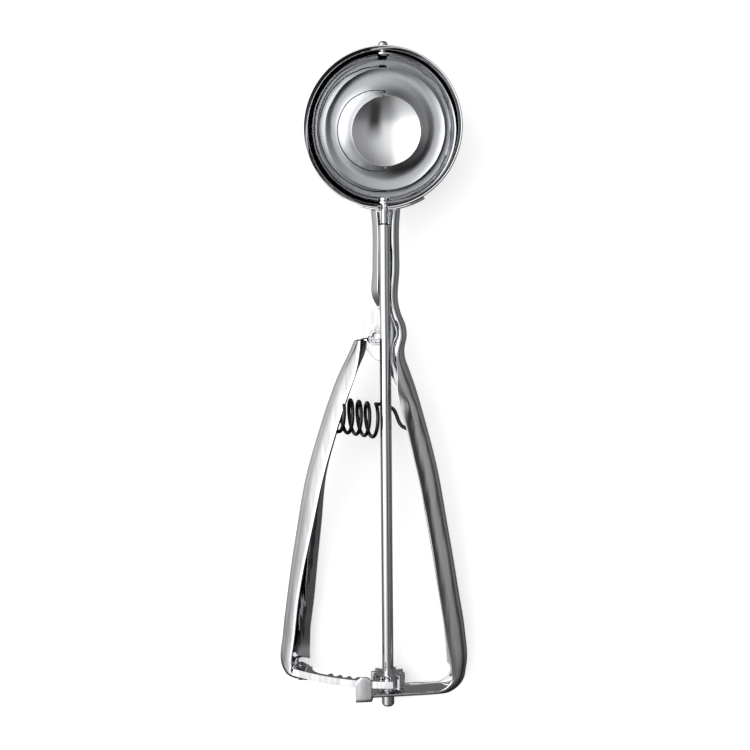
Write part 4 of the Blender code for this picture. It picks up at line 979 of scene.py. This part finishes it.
class SCOOP_OT_wiper(bpy.types.Operator):
    """Model the wiper blade, its hub on the rod and the pin at the bowl's far side"""

    bl_idname = "scoop.wiper"
    bl_label = "Wiper"

    def execute(self, context):
        scoop = Scoop(context.scene)
        wiper, slip = scoop.wiper, scoop.gaps.slip
        outer, inner, bore = scoop.blade_outer, scoop.blade_inner, scoop.rod.neck + slip
        over = math.asin(wiper.end_half_width / outer)
        tilt = Matrix.Rotation(wiper.rest, 3, "Y")
        rings = []
        for along in np.linspace(-math.pi / 2 - over, math.pi / 2 + over, 121):
            share = max(0.0, math.cos(along)) ** BLADE_SWELL
            wide = wiper.end_half_width + (wiper.half_width - wiper.end_half_width) * share
            past = abs(along) - math.pi / 2
            if past > 0:
                wide *= math.sqrt(max(BLADE_TIP, 1 - (past / over) ** 2))
            ring = []
            upper_edge = wiper.thickness * math.tan(wiper.rest) * math.cos(along)
            sides = np.linspace(-1, 1, 9)
            for radius, row in ((outer, sides), (inner, sides[::-1])):
                for side in row:
                    lean = math.asin((side * wide + upper_edge * (radius == inner) * max(0.0, side)) / radius)
                    flat = Vector((math.cos(along) * math.cos(lean), math.sin(along) * math.cos(lean),
                                   math.sin(lean)))
                    ring.append(tilt @ (flat * radius))
            rings.append(ring)
        blade = bevel(ring_loft("blade", rings), 0.06 * MM, limit=50)
        drill(blade, bore, -outer, 3 * MM)
        drill(blade, wiper.pin + slip, outer, 3 * MM)
        settle(blade, "wiper_shaft", "wiper_blade", "sheet")
        low = -inner + slip
        turned_part("hub", tube(bore, wiper.hub, low, low + wiper.hub_length), "wiper_shaft", "wiper_hub",
                    0.3 * MM)
        seat, rim = scoop.bowl_outer + scoop.gaps.seat, inner - slip
        end = seat + wiper.pin_head_length
        head, small = wiper.pin_head, wiper.pin_inner_head
        profile = [(0, end), (head * 0.55, end - 0.15 * MM), (head * 0.9, end - 0.7 * MM),
                   (head, end - 1.2 * MM), (head, seat), (wiper.pin, seat), (wiper.pin, rim), (small, rim),
                   (small, rim - 0.5 * wiper.pin_inner_sheet), (small * 0.6, rim - wiper.pin_inner_sheet),
                   (0, rim - wiper.pin_inner_sheet)]
        turned_part("far_pin", profile, "wiper_shaft", "wiper_far_pin", SMALL_EDGE, limit=20)
        return {"FINISHED"}


def web_place(rows, y, thick, gap):
    """The inner face of a web at height y, and the direction that leaves it squarely."""
    track = np.array([(row[0], row[1], row[2]) for row in smooth_rows(rows, 1.0 * MM)])
    index = int(np.argmin(np.abs(track[:, 1] - y)))
    along = track[index + 1, :2] - track[index - 1, :2]
    normal = np.array([along[1], -along[0]]) / np.linalg.norm(along)
    inward = np.array([math.cos(track[index, 2]), math.sin(track[index, 2])])
    if normal @ inward < 0:
        normal = -normal
    return track[index, :2] + normal * (thick * abs(normal @ inward) + gap), normal


def spring_route(scoop, points_per_turn=32):
    """The wire's middle line: from the lever, round the slanting coil and behind the rod to the handle."""
    sizes, thick, gap = scoop.spring, scoop.sheet.thickness, scoop.gaps.seat
    centre_y = PIVOT.y - sizes.drop
    left, left_out = web_place(lever_rows(scoop), centre_y - 0.9 * sizes.coil, thick, gap)
    lower = [row for row in frame_rows(scoop) if row[1] < PIVOT.y]
    right, right_out = web_place(lower, centre_y - 4.5 * MM, thick, gap)
    run, whole = 2 * sizes.wire, sizes.pitch * sizes.turns
    sine, cosine = math.sin(sizes.skew), math.cos(sizes.skew)
    coil = []
    for index in range(int(sizes.turns * points_per_turn) + 1):
        swing = math.tau * index / points_per_turn
        past = sizes.pitch * index / points_per_turn
        forward = sizes.coil * math.sin(swing)
        coil.append((-sizes.left + past * cosine + forward * sine,
                     centre_y + (whole / 2 - past) * sizes.fall - sizes.coil * math.cos(swing),
                     sizes.level + (whole / 2 - past) * sine + forward * cosine))
    last, behind = coil[-1][1], -scoop.rod.radius - sizes.wire - 1.6 * MM
    tail = [(-2.6 * MM, last - 0.3 * MM, behind - 1.2 * MM), (1.6 * MM, last - 1.6 * MM, behind - 0.8 * MM),
            (5.5 * MM, last - 8.2 * MM, behind), (*(right + right_out * run), behind), (*right, behind)]
    lead = [(*left, coil[0][2]), (*(left + left_out * run), coil[0][2])]
    return lead + coil + smooth_rows([coil[-1], *tail], 0.8 * MM)[1:]


class SCOOP_OT_spring(bpy.types.Operator):
    """Wind the dark spring wire between the two handles"""

    bl_idname = "scoop.spring"
    bl_label = "Spring"

    def execute(self, context):
        scoop = Scoop(context.scene)
        route = spring_route(scoop)
        wire = start_piece("spring_wire", bpy.ops.curve.primitive_nurbs_path_add)
        curve = wire.data
        curve.splines.clear()
        line = curve.splines.new("POLY")
        line.points.add(len(route) - 1)
        for point, place in zip(line.points, route):
            point.co = (*place, 1)
        curve.dimensions = "3D"
        curve.bevel_depth = scoop.spring.wire
        curve.bevel_resolution = 6
        curve.use_fill_caps = True
        bpy.ops.object.convert(target="MESH")
        bpy.ops.object.mode_set(mode="EDIT")
        close_skin()
        settle(wire, None, "spring", "wire")
        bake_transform(wire)
        return {"FINISHED"}


def new_material(piece, name):
    """Gives a piece a material with no nodes yet, and returns the tree to build it in."""
    made = bpy.data.materials.new(name)
    made.use_nodes = True
    made.node_tree.nodes.clear()
    piece.data.materials.append(made)
    return made.node_tree


def add_node(tree, kind, settings=()):
    """Adds a node and sets its sockets or its own values by name, or links a socket to what feeds it."""
    node = tree.nodes.new(kind)
    for name, value in dict(settings).items():
        if isinstance(value, bpy.types.NodeSocket):
            tree.links.new(value, node.inputs[name])
        elif isinstance(name, int) or name in node.inputs:
            node.inputs[name].default_value = value
        else:
            setattr(node, name, value)
    return node


def reckon(tree, operation, *terms):
    """The result of a math node over values and sockets."""
    return add_node(tree, "ShaderNodeMath", {"operation": operation, **dict(enumerate(terms))}).outputs[0]


# Each finish: its material, its colour's property, its roughness, the property for the distance between the
# soft waves that polishing leaves, the waves' height, and their scale along the scoop
FINISHES = {
    # 18/10 stainless, deep drawn and mirror buffed: clear reflections that swim a little
    "bowl": ("mirror_buffed_stainless", "steel", 0.03, "waviness", 0.10 * MM, 1.0),
    # 18/10 stainless sheet, stamped, bent and tumbled: a bright polish that wavers along the bends
    "sheet": ("tumbled_stainless_sheet", "steel", 0.06, "streaks", 0.3 * MM, 0.14),
    # turned stainless bar and rivets: straight bright lines and a softer gloss
    "turned": ("polished_stainless_bar", "rod_steel", 0.045, "streaks", 0.012 * MM, 0.14),
    # hard drawn spring wire, left dark: nearly black, with small soft highlights
    "wire": ("dark_drawn_wire", "wire", 0.16, "waviness", 0.005 * MM, 1.0),
}


def polish(piece, finish):
    """Gives a piece one of the polished metals, and builds the metal the first time."""
    name, tone, roughness, spacing, height, along = FINISHES[finish]
    if name in bpy.data.materials:
        piece.data.materials.append(bpy.data.materials[name])
        return
    sizes = bpy.context.scene.scoop_finish
    tree = new_material(piece, name)
    place = add_node(tree, "ShaderNodeTexCoord").outputs["Object"]
    drawn = add_node(tree, "ShaderNodeMapping", {"Scale": (1.0, along, 1.0), "Vector": place})
    waves = add_node(tree, "ShaderNodeTexNoise", {
        "Scale": 1 / getattr(sizes, spacing), "Detail": 2.0, "Roughness": 0.5, "Vector": drawn.outputs[0]})
    bump = add_node(tree, "ShaderNodeBump", {"Strength": 1.0, "Distance": height,
                                             "Height": waves.outputs["Fac"]})
    shader = add_node(tree, "ShaderNodeBsdfPrincipled", {
        "Base Color": (*getattr(sizes, tone), 1), "Metallic": 1.0, "Roughness": roughness,
        "Normal": bump.outputs["Normal"]})
    add_node(tree, "ShaderNodeOutputMaterial", {"Surface": shader.outputs["BSDF"]})


# The world's light on matt surfaces, the glow that whitens the floor to the eye, and the card's grey
ROOM_LIGHT = 0.7
FLOOR_GLOW = 0.5
CARD_GREY = 0.06


def seen_directly(tree):
    """A value that is 1 for what the camera sees straight, in metal or through glass, and 0 otherwise."""
    rays = add_node(tree, "ShaderNodeLightPath").outputs
    seen = reckon(tree, "MAXIMUM", rays["Is Camera Ray"], rays["Is Glossy Ray"])
    return reckon(tree, "MAXIMUM", seen, rays["Is Transmission Ray"])


def build_world(backdrop):
    """A plain backdrop that is white to the eye and lights the room a little less than that."""
    world = bpy.context.scene.world or bpy.data.worlds.new("studio")
    bpy.context.scene.world = world
    world.use_nodes = True
    tree = world.node_tree
    tree.nodes.clear()
    strength = add_node(tree, "ShaderNodeMapRange", {"To Min": ROOM_LIGHT, "To Max": 1.0,
                                                     "Value": seen_directly(tree)})
    sky = add_node(tree, "ShaderNodeBackground", {"Color": (*backdrop, 1),
                                                  "Strength": strength.outputs["Result"]})
    add_node(tree, "ShaderNodeOutputWorld", {"Surface": sky.outputs["Background"]})


def build_floor(floor_colour):
    """The pale matt floor, which keeps the scoop's shadow and stays out of reflections in metal."""
    just_under = (0, 0, -0.05 * MM)
    floor = start_piece("studio_floor", bpy.ops.mesh.primitive_plane_add, size=8, location=just_under)
    tree = new_material(floor, "pale_floor")
    matt = add_node(tree, "ShaderNodeBsdfDiffuse", {"Color": (*floor_colour, 1)})
    glow = add_node(tree, "ShaderNodeEmission", {
        "Color": (*floor_colour, 1), "Strength": reckon(tree, "MULTIPLY", seen_directly(tree), FLOOR_GLOW)})
    both = add_node(tree, "ShaderNodeAddShader", {0: matt.outputs["BSDF"], 1: glow.outputs["Emission"]})
    add_node(tree, "ShaderNodeOutputMaterial", {"Surface": both.outputs["Shader"]})
    floor.visible_glossy = False


def grey_steps(tree, angle, steps):
    """A grey that passes smoothly through the (degrees, level) steps as the angle turns."""
    highest = max(level for _, level in steps)
    share = add_node(tree, "ShaderNodeMapRange", {"From Min": -math.pi, "From Max": math.pi, "Value": angle})
    ramp = add_node(tree, "ShaderNodeValToRGB", {"Fac": share.outputs["Result"]})
    ramp.color_ramp.interpolation = "B_SPLINE"
    ends = ramp.color_ramp.elements
    while len(ends) < len(steps):
        ends.new(0.5)
    for stop, (degrees, level) in zip(ends, steps):
        stop.position = (degrees + 180) / 360
        stop.color = (*[level / highest] * 3, 1)
    return reckon(tree, "MULTIPLY", ramp.outputs["Color"], highest)


# Grey levels of the reflected studio round the scoop's length, in degrees: from the table (-180) over the
# softbox on the left and the zenith (0) to the dim room on the right
ACROSS = ((-180, 0.15), (-150, 0.25), (-128, 0.5), (-108, 0.6), (-76, 0.75), (-62, 1.6), (-48, 3.6),
          (-24, 3.4), (-9, 1.45), (2, 1.25), (12, 1.0), (24, 0.7), (36, 0.5), (52, 0.43), (68, 0.43),
          (76, 0.25), (84, 0.06), (92, 0.08), (102, 0.3), (130, 0.2), (158, 0.15), (180, 0.15))
# The share of that level that is left towards the handle's end (-90 degrees) and past the bowl (90)
ALONG = ((-90, 0.04), (-78, 0.05), (-62, 0.12), (-45, 0.2), (-30, 0.3), (-20, 0.42), (-14, 0.68), (-8, 0.86),
         (0, 1.0), (25, 1.0), (45, 0.55), (62, 0.45), (74, 0.4), (82, 0.08), (90, 0.04))


def show_in_metal(piece, tree, level, cover=None):
    """Makes a piece of the studio glow, for reflections in metal only, and fades it out with its cover."""
    surface = add_node(tree, "ShaderNodeEmission", {"Color": (1, 1, 1, 1), "Strength": level}).outputs[0]
    if cover:
        clear = add_node(tree, "ShaderNodeBsdfTransparent").outputs[0]
        surface = add_node(tree, "ShaderNodeMixShader", {0: cover, 1: clear, 2: surface}).outputs[0]
    add_node(tree, "ShaderNodeOutputMaterial", {"Surface": surface})
    piece.visible_camera = piece.visible_diffuse = piece.visible_shadow = False
    piece.visible_transmission = piece.visible_volume_scatter = False


def dark_card(lean, distance, low, high, width):
    """A dark card with soft edges, held over the scoop to draw a dark line along its metal."""
    card = start_piece("black_card", bpy.ops.mesh.primitive_plane_add, size=1)
    place = Matrix.Rotation(lean, 4, "Y") @ Matrix.Translation((0, (low + high) / 2, distance))
    card.matrix_world = SCOOP @ place @ Matrix.Diagonal((width, high - low, 1, 1))
    tree = new_material(card, "black_card")
    place = add_node(tree, "ShaderNodeTexCoord").outputs["Object"]
    axes = add_node(tree, "ShaderNodeSeparateXYZ", {0: place})
    shares = []
    # the card is fully dark within these shares of its size from its middle, and fades out to its edges
    for axis, full in (("X", 0.08), ("Y", 0.12)):
        shares.append(add_node(tree, "ShaderNodeMapRange", {
            "interpolation_type": "SMOOTHSTEP", "From Min": 0.5, "From Max": full,
            "Value": reckon(tree, "ABSOLUTE", axes.outputs[axis])}).outputs["Result"])
    show_in_metal(card, tree, CARD_GREY, reckon(tree, "MULTIPLY", *shares))


def studio_dome(radius):
    """The soft studio that only polished surfaces see: a dome of smooth greys all round the table."""
    dome = start_piece("studio_dome", bpy.ops.mesh.primitive_uv_sphere_add, segments=48, ring_count=24,
                       radius=radius)
    dome.rotation_euler = SCOOP.to_euler()
    tree = new_material(dome, "studio_greys")
    outward = add_node(tree, "ShaderNodeVectorMath", {
        "operation": "NORMALIZE", 0: add_node(tree, "ShaderNodeTexCoord").outputs["Object"]})
    axes = add_node(tree, "ShaderNodeSeparateXYZ", {0: outward.outputs[0]}).outputs
    across = reckon(tree, "ARCTAN2", axes["X"], axes["Z"])
    along = reckon(tree, "ARCSINE", axes["Y"])
    greys = grey_steps(tree, across, ACROSS), grey_steps(tree, along, ALONG)
    show_in_metal(dome, tree, reckon(tree, "MULTIPLY", *greys))


def soft_lamp(name, place, size, watts):
    """A soft rectangular lamp that looks at the scoop's middle and that metal doesn't mirror."""
    bpy.ops.object.light_add(type="AREA", location=place)
    lamp = bpy.context.active_object
    lamp.name = name
    lamp.data.shape = "RECTANGLE"
    lamp.data.size, lamp.data.size_y = size
    lamp.data.energy = watts
    lamp.visible_glossy = False
    lamp.rotation_euler = Vector(place).to_track_quat("Z", "Y").to_euler()


# Where the camera stands in the scoop's frame, in millimetres, and its turns about its axes, in degrees
CAMERA_PLACE = (50.801, -48.433, 411.113)
CAMERA_TURNS = (("X", -5.4059), ("Y", 7.53524), ("Z", 0.19947))


def build_camera(scene, lens):
    """The camera over the table, a little to the right of the rod and level with the stem."""
    place = Matrix.Translation(Vector(CAMERA_PLACE) * MM)
    for axis, degrees in CAMERA_TURNS:
        place = place @ Matrix.Rotation(math.radians(degrees), 4, axis)
    bpy.ops.object.camera_add()
    camera = bpy.context.active_object
    camera.name = "photo_camera"
    camera.matrix_world = SCOOP @ place
    camera.data.lens = lens
    camera.data.sensor_width = 36
    camera.data.clip_start, camera.data.clip_end = 10 * MM, 20
    scene.camera = camera


class SCOOP_OT_stage(bpy.types.Operator):
    """Set up the pale floor, the lamp, the reflected studio and the camera over the table"""

    bl_idname = "scoop.stage"
    bl_label = "Studio"

    def execute(self, context):
        stage = context.scene.scoop_stage
        build_floor(stage.floor)
        build_world(stage.backdrop)
        soft_lamp("left_softbox", place=(-0.95, 0.25, 1.1), size=(1.6, 2.2), watts=9.3)
        studio_dome(radius=2.5)
        dark_card(lean=math.radians(23), distance=215 * MM, low=-345 * MM, high=75 * MM, width=140 * MM)
        build_camera(context.scene, stage.lens)
        context.scene.view_settings.view_transform = "Standard"
        return {"FINISHED"}


PIECES = (
    SCOOP_OT_bowl, SCOOP_OT_saddle, SCOOP_OT_frame, SCOOP_OT_lever, SCOOP_OT_rack, SCOOP_OT_pivot,
    SCOOP_OT_rod, SCOOP_OT_pinion, SCOOP_OT_wiper, SCOOP_OT_spring, SCOOP_OT_stage,
)


class SCOOP_PT_pieces(bpy.types.Panel):
    """The sidebar panel that lists the scoop's pieces"""

    bl_label = "Ice cream scoop"
    bl_idname = "SCOOP_PT_pieces"
    bl_space_type = "VIEW_3D"
    bl_region_type = "UI"
    bl_category = "Scoop"

    def draw(self, context):
        for piece in PIECES:
            self.layout.operator(piece.bl_idname)


SIZES = {
    "gaps": ScoopGaps, "bowl": ScoopBowl, "sheet": ScoopSheet, "handle": ScoopHandle, "lever": ScoopLever,
    "rod": ScoopRod, "gear": ScoopGear, "pivot": ScoopPivot, "wiper": ScoopWiper, "spring": ScoopSpring,
    "finish": ScoopFinish, "stage": ScoopStage,
}


def register():
    for name, group in SIZES.items():
        bpy.utils.register_class(group)
        setattr(bpy.types.Scene, "scoop_" + name, PointerProperty(type=group))
    for piece in (*PIECES, SCOOP_PT_pieces):
        bpy.utils.register_class(piece)


def unregister():
    for piece in (SCOOP_PT_pieces, *reversed(PIECES)):
        bpy.utils.unregister_class(piece)
    for name, group in SIZES.items():
        delattr(bpy.types.Scene, "scoop_" + name)
        bpy.utils.unregister_class(group)


def main():
    register()
    for piece in PIECES:
        getattr(bpy.ops.scoop, piece.bl_idname.removeprefix("scoop."))()


if __name__ == "__main__":
    main()
